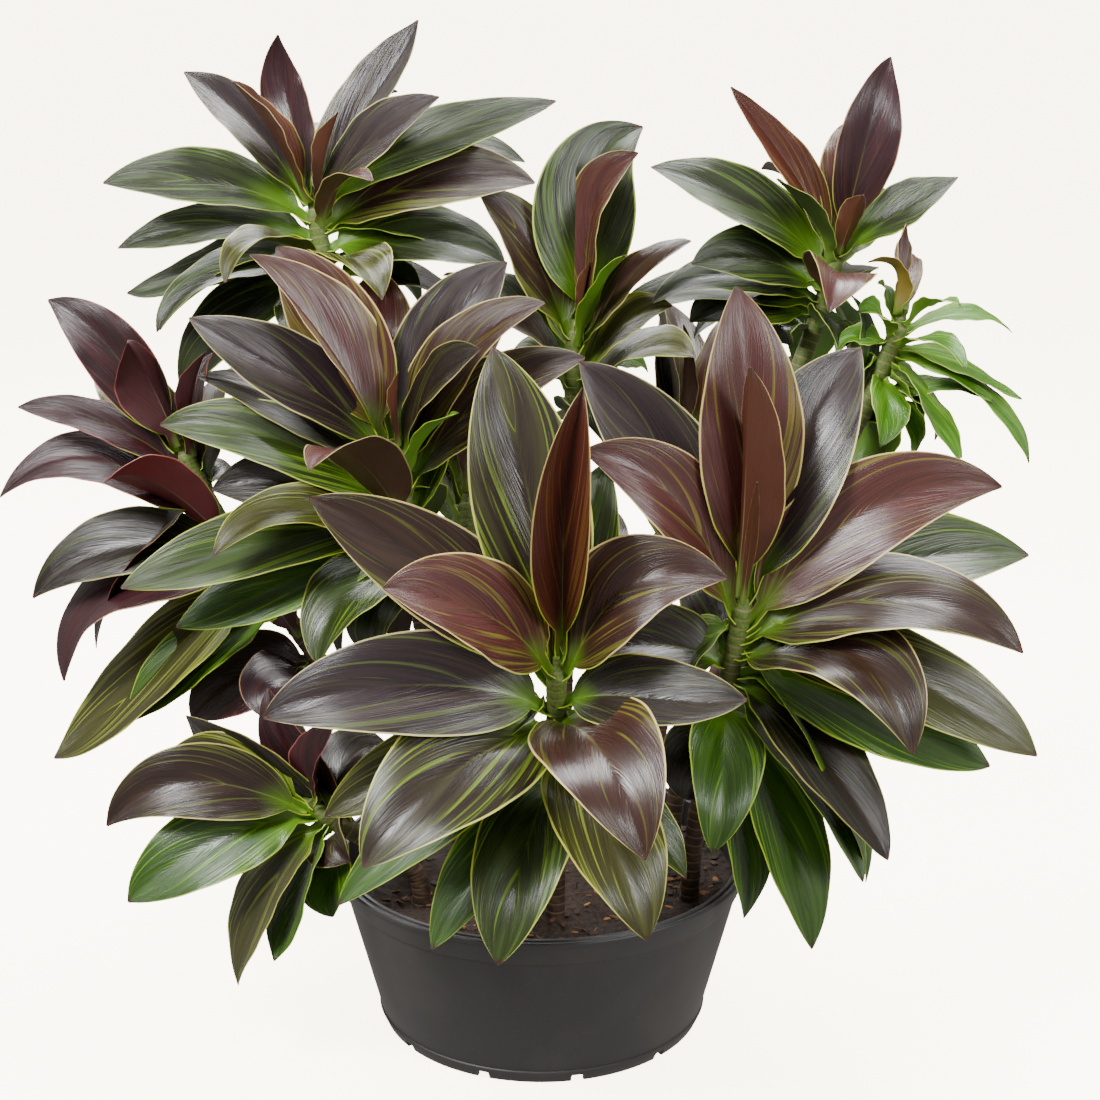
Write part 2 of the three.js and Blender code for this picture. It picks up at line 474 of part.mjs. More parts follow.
// A blade: left margin, midrib and right margin on the upper face, the same on the lower one.
function bladeGeometry(leaf) {
  const { base, tip, axis, age, width, arch, roll, fold, index } = leaf;
  const chord = tip.clone().sub(base);
  const ahead = chord.clone().normalize();
  const lift = axis.clone().addScaledVector(ahead, -axis.dot(ahead)).normalize();
  const rise = (YOUNG_RISE + (OLD_RISE - YOUNG_RISE) * age) * chord.length();
  const curve = new THREE.CubicBezierCurve3(
    base,
    base.clone().addScaledVector(chord, RISE_PLACE).addScaledVector(axis, rise),
    base.clone().addScaledVector(chord, ARCH_PLACE).addScaledVector(lift, arch * ARCH_PULL),
    tip,
  );
  const sideways = ahead.clone().cross(lift);
  if (sideways.y > 0) sideways.negate();
  const face = lift.clone().multiplyScalar(Math.cos(rad(roll)))
    .addScaledVector(sideways, Math.sin(rad(roll)));
  const twist = rad(TWIST) * Math.sin(TWIST_STEP * index);

  const positions = [];
  for (const t of BLADE_STATIONS) {
    const middle = curve.getPoint(t);
    const along = curve.getTangent(t);
    const turnedFace = face.clone().applyAxisAngle(ahead, twist * t);
    const across = along.clone().cross(turnedFace).normalize();
    const up = across.clone().cross(along).normalize();
    const half = halfWidth(t, width);
    const petioleFold = PETIOLE_FOLD * Math.max(0, 1 - t / FOLD_SHARE);
    const bend = rad(Math.max(fold, petioleFold));
    const edges = [-1, 1].map((side) => {
      const phase = WAVE_RATE * t + side * WAVE_OFFSET + index;
      const wave = WAVE * Math.sin(phase) * half / (width / 2);
      const outward = across.clone().multiplyScalar(side * Math.cos(bend))
        .addScaledVector(up, Math.sin(bend));
      const normal = up.clone().multiplyScalar(Math.cos(bend))
        .addScaledVector(across, -side * Math.sin(bend));
      const top = middle.clone().addScaledVector(outward, half).addScaledVector(up, wave);
      return { top, bottom: top.clone().addScaledVector(normal, -BLADE_THICKNESS) };
    });
    const keel = middle.clone().addScaledVector(up, -BLADE_THICKNESS / Math.cos(bend));
    for (const point of [edges[0].top, middle, edges[1].top, edges[1].bottom, keel, edges[0].bottom]) {
      positions.push(point.x, point.y, point.z);
    }
  }

  return ringedGeometry(positions, 6);
}

function circleShape(radius, sides) {
  const points = Array.from({ length: sides }, (_, corner) => {
    const angle = (corner + 0.5) / sides * Math.PI * 2;
    return new THREE.Vector2(radius * Math.cos(angle), radius * Math.sin(angle));
  });
  return new THREE.Shape(points);
}

// An upright prism from one height to another.
function postGeometry(x, y, radius, sides, bottom, top) {
  const options = { depth: top - bottom, bevelEnabled: false };
  const geometry = new THREE.ExtrudeGeometry(circleShape(radius, sides), options);
  geometry.translate(x, y, bottom);
  return geometry;
}

// The cane as one prism: its foot in the soil, the bare part, and the thicker part that the leaf
// bases sheathe. Each ring is square to the curve, with its first corner towards +X.
function caneSolid(shoot) {
  const cane = caneCurve(shoot);
  const [x, y] = shoot.root;
  const up = new THREE.Vector3(0, 0, 1);
  const sheathStart = 1 - (shoot.leafy + SHEATH_RADIUS) / cane.getLength();
  const ringAt = (place, radius) => ({ middle: cane.getPoint(place), along: cane.getTangent(place), radius });
  const rings = [SOIL_LEVEL - CANE_DEPTH, SOIL_LEVEL + UPRIGHT_HEIGHT].map((height) => (
    { middle: new THREE.Vector3(x, y, height), along: up, radius: CANE_RADIUS }));
  rings.push(ringAt(sheathStart * BARE_RING_PLACE, CANE_RADIUS), ringAt(sheathStart, CANE_RADIUS));
  for (let step = 0; step <= SHEATH_STEPS; step += 1) {
    const share = SHEATH_SHOULDER + (1 - SHEATH_SHOULDER) * step / SHEATH_STEPS;
    rings.push(ringAt(sheathStart + (1 - sheathStart) * share, SHEATH_RADIUS));
  }
  const positions = [];
  for (const { middle, along, radius } of rings) {
    const first = new THREE.Vector3(1, 0, 0).addScaledVector(along, -along.x).normalize();
    const second = along.clone().cross(first);
    for (let corner = 0; corner < CANE_SIDES; corner += 1) {
      const angle = (corner + 0.5) / CANE_SIDES * Math.PI * 2;
      const point = middle.clone().addScaledVector(first, radius * Math.cos(angle))
        .addScaledVector(second, radius * Math.sin(angle));
      positions.push(point.x, point.y, point.z);
    }
  }
  return solidOf(ringedGeometry(positions, CANE_SIDES));
}

// The cane with its leaves fused to it. Pockets that the clasping leaf bases close are filled.
function shootSolid(shoot) {
  const whole = leavesOf(shoot).reduce(
    (fused, leaf) => fused.add(solidOf(bladeGeometry(leaf))), caneSolid(shoot));
  const shells = whole.decompose();
  return shells.reduce((best, shell) => (shell.volume() > best.volume() ? shell : best));
}

// Radius of the pot's tapered wall at a height, on its outside.
function wallRadius(height) {
  const top = POT_HEIGHT - COLLAR_HEIGHT;
  return FOOT_RADIUS + (COLLAR_FOOT_RADIUS - COLLAR_PROUD - FOOT_RADIUS) * height / top;
}

function potSolid() {
  const collarBottom = POT_HEIGHT - COLLAR_HEIGHT;
  const underside = FLOOR_HEIGHT - WALL;
  const profile = [
    [0, 0],
    [CENTRE_FOOT_RADIUS, 0],
    [CENTRE_FOOT_RADIUS, underside],
    [FOOT_RADIUS - FOOT_WALL, underside],
    [FOOT_RADIUS - FOOT_WALL, 0],
    [FOOT_RADIUS, 0],
    [wallRadius(FOOT_HEIGHT) + EDGE_BEVEL, FOOT_HEIGHT - EDGE_BEVEL],
    [wallRadius(FOOT_HEIGHT), FOOT_HEIGHT],
    [wallRadius(collarBottom), collarBottom],
    [COLLAR_FOOT_RADIUS, collarBottom],
    [RIM_RADIUS, POT_HEIGHT - EDGE_BEVEL],
    [RIM_RADIUS - EDGE_BEVEL, POT_HEIGHT],
    [RIM_RADIUS - RIM_WIDTH, POT_HEIGHT],
    [wallRadius(collarBottom) - WALL, collarBottom],
    [wallRadius(FLOOR_HEIGHT) - WALL, FLOOR_HEIGHT],
    [0, FLOOR_HEIGHT],
  ];
  let pot = solidOf(turned(profile, POT_SIDES));
  for (let notch = 0; notch < NOTCH_COUNT; notch += 1) {
    const cutter = new THREE.BoxGeometry(FOOT_WALL * 4, NOTCH_WIDTH, NOTCH_HEIGHT * 2);
    cutter.translate(FOOT_RADIUS - FOOT_WALL / 2, 0, 0);
    cutter.rotateZ(rad(NOTCH_FIRST_ANGLE + notch * 360 / NOTCH_COUNT));
    pot = pot.subtract(solidOf(cutter));
  }
  for (let drain = 0; drain < DRAIN_COUNT; drain += 1) {
    const angle = drain / DRAIN_COUNT * Math.PI * 2;
    pot = pot.subtract(solidOf(postGeometry(
      DRAIN_CIRCLE_RADIUS * Math.cos(angle), DRAIN_CIRCLE_RADIUS * Math.sin(angle),
      DRAIN_RADIUS, DRAIN_SIDES, 0, FLOOR_HEIGHT + WALL)));
  }
  return pot;
}

// Height of the soil at a place: level at the wall, with low lumps inside.
function soilHeight(x, y) {
  const lumps = Math.sin(x * LUMP_PITCH.across + LUMP_OFFSET) * Math.cos(y * LUMP_PITCH.along)
    + Math.sin((x - y) * LUMP_PITCH.slanted);
  return SOIL_LEVEL + SOIL_RELIEF * lumps;
}

function soilSolid() {
  const bottom = FLOOR_HEIGHT + GAP;
  const inside = (height) => wallRadius(height) - WALL - 2 * GAP;
  const edge = SOIL_LEVEL - SOIL_EDGE_DROP;
  const profile = [[0, bottom], [inside(bottom), bottom], [inside(edge), edge]];
  for (let ring = SOIL_RINGS - 1; ring >= 0; ring -= 1) {
    profile.push([inside(edge) * ring / SOIL_RINGS, SOIL_LEVEL]);
  }
  const geometry = turned(profile, POT_SIDES);
  const position = geometry.attributes.position;
  for (let corner = 0; corner < position.count; corner += 1) {
    if (position.getZ(corner) > edge + SOIL_EDGE_DROP / 2) {
      position.setZ(corner, soilHeight(position.getX(corner), position.getY(corner)));
    }
  }
  let soil = solidOf(geometry);
  for (const shoot of SHOOTS) {
    soil = soil.subtract(solidOf(postGeometry(
      shoot.root[0], shoot.root[1], CANE_RADIUS + 2 * GAP, CANE_SIDES,
      SOIL_LEVEL - CANE_DEPTH - GAP, POT_HEIGHT)));
  }
  return soil;
}

function mesh(name, solid, colour, roughness) {
  const material = new THREE.MeshStandardMaterial({ color: colour, roughness, metalness: 0 });
  const piece = new THREE.Mesh(geometryOf(solid), material);
  piece.name = name;
  return piece;
}

const plant = new THREE.Group();
plant.add(mesh('pot', potSolid(), POT_COLOUR, POT_ROUGHNESS));
plant.add(mesh('soil', soilSolid(), SOIL_COLOUR, SOIL_ROUGHNESS));
for (const shoot of SHOOTS) {
  plant.add(mesh(shoot.name, shootSolid(shoot), shoot.colour, LEAF_ROUGHNESS));
}

export default plant;
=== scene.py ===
import math
import random
from collections import namedtuple

import bpy
import numpy as np
from mathutils import Matrix, Vector, noise


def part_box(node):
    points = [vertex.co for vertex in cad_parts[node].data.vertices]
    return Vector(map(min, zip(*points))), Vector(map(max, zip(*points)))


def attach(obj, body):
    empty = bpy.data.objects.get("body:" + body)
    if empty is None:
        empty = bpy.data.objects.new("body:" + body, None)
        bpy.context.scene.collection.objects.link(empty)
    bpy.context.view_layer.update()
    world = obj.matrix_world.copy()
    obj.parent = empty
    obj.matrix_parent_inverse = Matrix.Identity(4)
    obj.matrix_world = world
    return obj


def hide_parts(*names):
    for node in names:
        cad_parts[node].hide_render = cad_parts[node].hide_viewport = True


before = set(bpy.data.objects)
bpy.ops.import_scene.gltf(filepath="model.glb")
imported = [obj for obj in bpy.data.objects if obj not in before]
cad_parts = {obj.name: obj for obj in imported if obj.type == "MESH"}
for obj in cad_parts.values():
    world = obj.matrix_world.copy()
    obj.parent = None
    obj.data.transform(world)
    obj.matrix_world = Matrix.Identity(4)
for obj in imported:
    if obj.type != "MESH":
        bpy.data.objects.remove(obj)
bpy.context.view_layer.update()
bpy.ops.object.select_all(action="DESELECT")

# The photograph looks slightly down on the plant, from about a metre and a half away and a little
# above its top. The camera stands there with a short telephoto lens and no shift.
EYE = (0.006, -1.465, 0.792)
EYE_PITCH = 16.8
LENS_MM = 72
SENSOR_WIDTH_MM = 36
bpy.ops.object.camera_add(location=EYE, rotation=(math.radians(90 - EYE_PITCH), 0, 0))
camera = bpy.context.object
camera.name = "camera"
camera.data.lens = LENS_MM
camera.data.sensor_width = SENSOR_WIDTH_MM
camera.data.dof.use_dof = False
bpy.context.scene.camera = camera


# Nursery pan: one injection-moulded pot of charcoal plastic, satin from the mould, with a stepped
# rim, a collar under it, a foot ring with drainage notches, six drain holes and a centre foot.
class Link:
    """A value on its way between two shader nodes, so that shader maths reads as arithmetic."""

    def __init__(self, finish, socket):
        self.finish = finish
        self.socket = socket

    def sum_with(self, operation, first, second):
        return self.finish.node("ShaderNodeMath", {"operation": operation}, {0: first, 1: second})

    def __add__(self, other):
        return self.sum_with("ADD", self, other)

    def __radd__(self, other):
        return self.sum_with("ADD", other, self)

    def __sub__(self, other):
        return self.sum_with("SUBTRACT", self, other)

    def __rsub__(self, other):
        return self.sum_with("SUBTRACT", other, self)

    def __mul__(self, other):
        return self.sum_with("MULTIPLY", self, other)

    def __rmul__(self, other):
        return self.sum_with("MULTIPLY", other, self)

    def __pow__(self, other):
        return self.sum_with("POWER", self, other)

    def __abs__(self):
        return self.sum_with("ABSOLUTE", self, 0.0)


class Finish:
    """A material under construction: every node is added by node(), and colours are blended by mix()."""

    def __init__(self, name):
        self.material = bpy.data.materials.new(name)
        self.material.use_nodes = True
        self.tree = self.material.node_tree
        self.shader = self.tree.nodes["Principled BSDF"]

    def node(self, kind, settings=None, values=None, output=0):
        made = self.tree.nodes.new(kind)
        for key, value in (settings or {}).items():
            setattr(made, key, value)
        for socket, value in (values or {}).items():
            self.feed(made.inputs[socket], value)
        return Link(self, made.outputs[output])

    def feed(self, socket, value):
        if isinstance(value, Link):
            self.tree.links.new(value.socket, socket)
        else:
            socket.default_value = value

    def mix(self, share, first, second):
        return self.node("ShaderNodeMix", {"data_type": "RGBA"}, {0: share, 6: first, 7: second}, output=2)

    def step(self, value, low, high):
        settings = {"interpolation_type": "SMOOTHSTEP"}
        return self.node("ShaderNodeMapRange", settings, {0: value, 1: low, 2: high})

    def cloud(self, place, scale, detail=3.0, rough=0.55):
        values = {"Vector": place, "Scale": scale, "Detail": detail, "Roughness": rough}
        return self.node("ShaderNodeTexNoise", {}, values)

    def surface(self, **sockets):
        for name, value in sockets.items():
            self.feed(self.shader.inputs[name.replace("_", " ")], value)
        return self.material


def paint(code):
    """A colour from its hexadecimal code, as the shader wants it."""
    parts = [int(code[place:place + 2], 16) / 255 for place in (0, 2, 4)]
    linear = [part / 12.92 if part <= 0.04045 else ((part + 0.055) / 1.055) ** 2.4 for part in parts]
    return (*linear, 1.0)


SMOOTH_ANGLE = 38


def settle(piece, node, material):
    """Smooths a finished piece, gives it its finish, and puts it in place of its node."""
    bpy.ops.object.select_all(action="DESELECT")
    piece.select_set(True)
    bpy.context.view_layer.objects.active = piece
    bpy.ops.object.shade_smooth_by_angle(angle=math.radians(SMOOTH_ANGLE))
    piece.data.materials.clear()
    piece.data.materials.append(material)
    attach(piece, "root")
    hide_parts(node)


def apply_all(piece):
    """Applies every modifier of a piece, in order."""
    bpy.context.view_layer.objects.active = piece
    for modifier in list(piece.modifiers):
        bpy.ops.object.modifier_apply(modifier=modifier.name)


def cut_out(piece, cutter):
    """Cuts one solid out of another and throws the cutter away."""
    cut = piece.modifiers.new("cut", "BOOLEAN")
    cut.operation = "DIFFERENCE"
    cut.object = cutter
    apply_all(piece)
    bpy.data.objects.remove(cutter)


def moulded_plastic():
    finish = Finish("charcoal_moulded_plastic")
    place = finish.node("ShaderNodeTexCoord", {}, {}, output=3)
    speckle = finish.cloud(place, 900.0, 2.0)
    bloom = finish.cloud(place, 14.0, 4.0)
    grain = finish.cloud(place, 2600.0, 1.0)
    dust = finish.step(bloom, 0.45, 0.75)
    colour = finish.mix(dust * 0.5, paint("2e2d2e"), paint("3d3b39"))
    colour = finish.mix(finish.step(speckle, 0.66, 0.74) * 0.35, colour, paint("6b6864"))
    relief = finish.node("ShaderNodeBump", {}, {"Strength": 0.12, "Distance": 0.0003, "Height": grain})
    return finish.surface(
        Base_Color=colour, Roughness=0.4 + bloom * 0.18, Normal=relief, Specular_IOR_Level=0.45)


pan_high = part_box("pot")[1]
RIM_RADIUS = pan_high.x
RIM_HEIGHT = pan_high.z
PAN_SIDES = 128
COLLAR_HEIGHT = 0.019
COLLAR_RADIUS = 0.144
COLLAR_PROUD = 0.0015
FOOT_RADIUS = 0.116
FOOT_HEIGHT = 0.010
WALL = 0.003
FOOT_WALL = 0.004
CENTRE_FOOT_RADIUS = 0.024
collar_bottom = RIM_HEIGHT - COLLAR_HEIGHT


def wall_radius(height):
    """Outside radius of the tapered wall at a height."""
    top = COLLAR_RADIUS - COLLAR_PROUD
    return FOOT_RADIUS + (top - FOOT_RADIUS) * height / collar_bottom


def turn(profile, sides):
    """A circle drawn out ring by ring through a profile of (radius, height), closed at both ends."""
    radius, height = profile[0]
    bpy.ops.mesh.primitive_circle_add(vertices=sides, radius=radius, fill_type="NGON",
                                      location=(0, 0, height))
    piece = bpy.context.object
    bpy.ops.object.transform_apply(location=True)
    bpy.ops.object.mode_set(mode="EDIT")
    bpy.ops.mesh.select_all(action="SELECT")
    bpy.ops.mesh.flip_normals()
    bpy.ops.mesh.select_all(action="DESELECT")
    bpy.ops.mesh.select_mode(type="EDGE")
    bpy.ops.mesh.select_all(action="SELECT")
    for next_radius, next_height in profile[1:]:
        bpy.ops.mesh.extrude_edges_move(
            TRANSFORM_OT_translate={"value": (0, 0, next_height - height)})
        share = next_radius / radius
        bpy.ops.transform.resize(value=(share, share, 1), center_override=(0, 0, next_height))
        radius, height = next_radius, next_height
    bpy.ops.mesh.edge_face_add()
    bpy.ops.mesh.select_all(action="SELECT")
    bpy.ops.mesh.normals_make_consistent(inside=False)
    bpy.ops.object.mode_set(mode="OBJECT")
    return piece


def rounded(corner, size, start, end, steps=4):
    """Points of a quarter round of a given size about a corner's centre, from one angle to another."""
    angles = [math.radians(start + (end - start) * step / steps) for step in range(steps + 1)]
    return [(corner[0] + size * math.cos(angle), corner[1] + size * math.sin(angle)) for angle in angles]


underside = FOOT_HEIGHT - 0.002
floor_height = FOOT_HEIGHT + 0.001
pan_profile = [
    (CENTRE_FOOT_RADIUS - 0.001, 0),
    (CENTRE_FOOT_RADIUS, 0.001),
    (CENTRE_FOOT_RADIUS + 0.001, underside),
    (FOOT_RADIUS - FOOT_WALL - 0.001, underside),
    (FOOT_RADIUS - FOOT_WALL, underside - 0.001),
    (FOOT_RADIUS - FOOT_WALL, 0.0005),
    (FOOT_RADIUS - FOOT_WALL + 0.0005, 0),
    (FOOT_RADIUS - 0.0008, 0),
    (FOOT_RADIUS, 0.0008),
    (wall_radius(FOOT_HEIGHT) + 0.001, FOOT_HEIGHT - 0.0012),
    (wall_radius(FOOT_HEIGHT) + 0.0008, FOOT_HEIGHT - 0.0004),
    (wall_radius(FOOT_HEIGHT), FOOT_HEIGHT + 0.0002),
    (wall_radius(0.4 * collar_bottom), 0.4 * collar_bottom),
    (wall_radius(collar_bottom), collar_bottom - 0.0004),
    (wall_radius(collar_bottom) + 0.0006, collar_bottom),
    (COLLAR_RADIUS - 0.0003, collar_bottom + 0.0002),
    (COLLAR_RADIUS + 0.0003, collar_bottom + 0.001),
    (RIM_RADIUS - 0.0022, RIM_HEIGHT - 0.0046),
    (RIM_RADIUS - 0.0006, RIM_HEIGHT - 0.0036),
]
pan_profile += rounded((RIM_RADIUS - 0.0015, RIM_HEIGHT - 0.0015), 0.0015, -20, 90)
pan_profile += [
    (RIM_RADIUS - 0.0030, RIM_HEIGHT - 0.0002),
    (RIM_RADIUS - 0.0036, RIM_HEIGHT - 0.0016),
    (RIM_RADIUS - 0.0056, RIM_HEIGHT - 0.0018),
    (RIM_RADIUS - 0.0062, RIM_HEIGHT - 0.0004),
]
pan_profile += rounded((RIM_RADIUS - 0.0078, RIM_HEIGHT - 0.0012), 0.0012, 90, 180)
pan_profile += [
    (wall_radius(collar_bottom) - WALL, collar_bottom),
    (wall_radius(floor_height) - WALL, floor_height),
    (0.004, floor_height),
]
pan = turn(pan_profile, PAN_SIDES)
pan.name = "nursery_pan"

NOTCH_COUNT = 11
NOTCH_FIRST_ANGLE = -143
NOTCH_WIDTH = 0.009
NOTCH_HEIGHT = 0.006
for notch in range(NOTCH_COUNT):
    angle = math.radians(NOTCH_FIRST_ANGLE + notch * 360 / NOTCH_COUNT)
    middle = FOOT_RADIUS - FOOT_WALL / 2
    bpy.ops.mesh.primitive_cube_add(
        size=1, location=(middle * math.cos(angle), middle * math.sin(angle), 0), rotation=(0, 0, angle),
        scale=(FOOT_WALL * 4, NOTCH_WIDTH, NOTCH_HEIGHT * 2))
    notch_cutter = bpy.context.object
    bevel = notch_cutter.modifiers.new("round", "BEVEL")
    bevel.width = 0.001
    bevel.segments = 2
    bpy.ops.object.transform_apply(location=True, rotation=True, scale=True)
    apply_all(notch_cutter)
    cut_out(pan, notch_cutter)

DRAIN_COUNT = 6
DRAIN_RADIUS = 0.006
DRAIN_CIRCLE_RADIUS = 0.078
for drain in range(DRAIN_COUNT):
    angle = drain / DRAIN_COUNT * math.tau
    bpy.ops.mesh.primitive_cylinder_add(
        vertices=32, radius=DRAIN_RADIUS, depth=0.03,
        location=(DRAIN_CIRCLE_RADIUS * math.cos(angle), DRAIN_CIRCLE_RADIUS * math.sin(angle), 0.01))
    drain_cutter = bpy.context.object
    bpy.ops.object.transform_apply(location=True)
    cut_out(pan, drain_cutter)
settle(pan, "pot", moulded_plastic())

# Soil: a dark, moist mix of coir and fine bark, settled a thumb's width under the rim, lumpy on top.
# Its surface is one grid pulled out to a disc, and the chips and coir curls on it are one piece more.
SOIL_LEVEL = 0.105
SOIL_CELLS = 150
SOIL_GAP = 0.0006
SOIL_LUMP = 0.0025
SOIL_CRUMB = 0.0014
SOIL_EDGE_WIDTH = 0.012
SOIL_EDGE_DROP = 0.001
soil_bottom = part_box("soil")[0].z
soil_radius = wall_radius(SOIL_LEVEL - 0.001) - WALL - SOIL_GAP


def soil_height(x, y):
    """Height of the soil: the low lumps of the bed, and the crumbs on them."""
    lumps = math.sin(x * 71 + 1.3) * math.cos(y * 83) + math.sin((x - y) * 47)
    crumbs = noise.noise(Vector((x, y, 0)) * 140) + 0.6 * noise.noise(Vector((x, y, 0.02)) * 330)
    edge = min(1.0, (soil_radius - math.hypot(x, y)) / SOIL_EDGE_WIDTH)
    return SOIL_LEVEL + SOIL_LUMP * lumps * edge + SOIL_CRUMB * crumbs - SOIL_EDGE_DROP * (1 - edge)


bpy.ops.mesh.primitive_grid_add(x_subdivisions=SOIL_CELLS, y_subdivisions=SOIL_CELLS, size=2)
soil = bpy.context.object
soil.name = "coir_soil"
for vertex in soil.data.vertices:
    across, away = vertex.co.x, vertex.co.y
    x = soil_radius * across * math.sqrt(1 - away * away / 2)
    y = soil_radius * away * math.sqrt(1 - across * across / 2)
    vertex.co = (x, y, soil_height(x, y))
bpy.ops.object.mode_set(mode="EDIT")
bpy.ops.mesh.select_all(action="DESELECT")
bpy.ops.mesh.select_mode(type="EDGE")
bpy.ops.mesh.select_non_manifold()
bpy.ops.mesh.extrude_edges_move(TRANSFORM_OT_translate={"value": (0, 0, soil_bottom - SOIL_LEVEL)})
shrink = (wall_radius(soil_bottom) - WALL - SOIL_GAP) / soil_radius
bpy.ops.transform.resize(value=(shrink, shrink, 0), center_override=(0, 0, soil_bottom))
bpy.ops.mesh.edge_face_add()
bpy.ops.mesh.select_all(action="SELECT")
bpy.ops.mesh.normals_make_consistent(inside=False)
bpy.ops.object.mode_set(mode="OBJECT")


def coir_mix():
    finish = Finish("moist_coir_and_bark")
    place = finish.node("ShaderNodeTexCoord", {}, {}, output=3)
    crumbs = finish.cloud(place, 420.0, 5.0, 0.7)
    patches = finish.cloud(place, 60.0, 3.0)
    fibres = finish.cloud(place, 1500.0, 2.0)
    colour = finish.mix(finish.step(crumbs, 0.35, 0.65), paint("140d09"), paint("3b2718"))
    colour = finish.mix(finish.step(crumbs, 0.62, 0.78) * 0.8, colour, paint("7a5030"))
    colour = finish.mix(finish.step(patches, 0.5, 0.8) * 0.4, colour, paint("1d130d"))
    height = crumbs + fibres * 0.4
    relief = finish.node("ShaderNodeBump", {}, {"Strength": 0.9, "Distance": 0.0015, "Height": height})
    return finish.surface(Base_Color=colour, Roughness=0.78 + patches * 0.2, Normal=relief)


settle(soil, "soil", coir_mix())

CHIP_COUNT = 420
CURL_COUNT = 160
CHIP_LENGTH = (0.003, 0.011)
CHIP_TILT = 0.5
CURL_TILT = 1.4
CURL_LEAN = 1.57
CURL_BOW = 0.9
CURL_WIDTH = 0.0005
random.seed(11)
bpy.ops.mesh.primitive_ico_sphere_add(subdivisions=1, radius=0.5)
chip_shape = bpy.context.object
bpy.ops.mesh.primitive_cylinder_add(vertices=5, radius=0.5, depth=1)
curl_shape = bpy.context.object
bpy.ops.object.mode_set(mode="EDIT")
bpy.ops.mesh.select_all(action="DESELECT")
bpy.ops.object.mode_set(mode="OBJECT")
for edge in curl_shape.data.edges:
    first, second = (curl_shape.data.vertices[end].co for end in edge.vertices)
    edge.select = abs(first.z - second.z) > 0.5
bpy.ops.object.mode_set(mode="EDIT")
bpy.ops.mesh.subdivide(number_cuts=6)
bpy.ops.object.mode_set(mode="OBJECT")


def scatter_place():
    """A random spot on the soil, inside its edge."""
    radius = (soil_radius - 0.006) * math.sqrt(random.random())
    angle = random.uniform(0, math.tau)
    x, y = radius * math.cos(angle), radius * math.sin(angle)
    return Vector((x, y, soil_height(x, y)))


bits = []
for count, shape in ((CHIP_COUNT, chip_shape), (CURL_COUNT, curl_shape)):
    for _ in range(count):
        bit = shape.copy()
        bit.data = shape.data.copy()
        bpy.context.collection.objects.link(bit)
        length = random.uniform(*CHIP_LENGTH)
        if shape is chip_shape:
            size = length * Vector((1, random.uniform(0.35, 0.7), random.uniform(0.15, 0.35)))
            tilt, upright = CHIP_TILT, 0
        else:
            size = Vector((CURL_WIDTH, CURL_WIDTH, length * 1.4))
            tilt, upright = CURL_TILT, CURL_LEAN
            bow = random.uniform(-CURL_BOW, CURL_BOW)
            for vertex in bit.data.vertices:
                vertex.co.x += bow * 6 * (vertex.co.z ** 2 - 0.08)
        lift = size.z * 0.3 if shape is chip_shape else 0.001
        turn_about = Matrix.Rotation(random.uniform(0, math.tau), 4, "Z")
        lean = Matrix.Rotation(random.uniform(-tilt, tilt) + upright, 4, "X")
        place = Matrix.Translation(scatter_place() + Vector((0, 0, lift)))
        bit.data.transform(place @ turn_about @ lean @ Matrix.Diagonal((*size, 1)))
        tone = bit.data.attributes.new("tone", "FLOAT", "POINT")
        tone.data.foreach_set("value", [random.random()] * len(bit.data.vertices))
        bits.append(bit)
for shape in (chip_shape, curl_shape):
    bpy.data.objects.remove(shape)
bpy.ops.object.select_all(action="DESELECT")
for bit in bits:
    bit.select_set(True)
bpy.context.view_layer.objects.active = bits[0]
bpy.ops.object.join()
soil_bits = bpy.context.object
soil_bits.name = "bark_and_coir_bits"


def bark_bits():
    finish = Finish("bark_chips_and_coir_curls")
    place = finish.node("ShaderNodeTexCoord", {}, {}, output=3)
    tone = finish.node("ShaderNodeAttribute", {"attribute_name": "tone"}, {}, output=2)
    grain = finish.cloud(place, 900.0, 3.0)
    colour = finish.mix(finish.step(tone, 0.2, 0.75), paint("20140d"), paint("5a3820"))
    colour = finish.mix(finish.step(tone, 0.72, 1.0), colour, paint("9a6a3c"))
    colour = finish.mix(finish.step(grain, 0.4, 0.7) * 0.4, colour, paint("2a1a10"))
    relief = finish.node("ShaderNodeBump", {}, {"Strength": 0.6, "Distance": 0.0006, "Height": grain})
    return finish.surface(Base_Color=colour, Roughness=0.8, Normal=relief)


settle(soil_bits, "soil", bark_bits())

# Canes: each shoot is one woody cane, brown below and green near its head, ringed all the way
# by the scars of fallen leaves. It is rooted upright in the soil and leans out towards the light.
CANE_RADIUS = 0.0065
CANE_FOOT_DEPTH = 0.060
CANE_SIDES = 20
CANE_CUTS = (59, 3)
CANE_START_MM = 4
CANE_BEND_SHARE = 0.35
CANE_TAPER = 0.014
GREEN_FROM = 0.55
GREEN_RUN = 0.35
SCAR_SPACING = 0.0065
SCAR_SWELL = 0.07
SHEATH_RADIUS = 0.0095
BASE_SINK = 0.003

# Picture that the shoots were measured in: its middle and its focal length, in its own points.
PICTURE_MIDDLE = 550
PICTURE_FOCUS = 2200


def unit(vector):
    return vector / np.linalg.norm(vector, axis=-1, keepdims=True)


def bezier(points, t):
    """Place on a cubic curve at each t."""
    t = np.asarray(t, float)[..., None]
    a, b, c, d = points
    return (1 - t) ** 3 * a + 3 * (1 - t) ** 2 * t * b + 3 * (1 - t) * t ** 2 * c + t ** 3 * d


def bezier_heading(points, t):
    """Direction of a cubic curve at each t."""
    t = np.asarray(t, float)[..., None]
    a, b, c, d = points
    return unit((1 - t) ** 2 * (b - a) + 2 * (1 - t) * t * (c - b) + t ** 2 * (d - c))


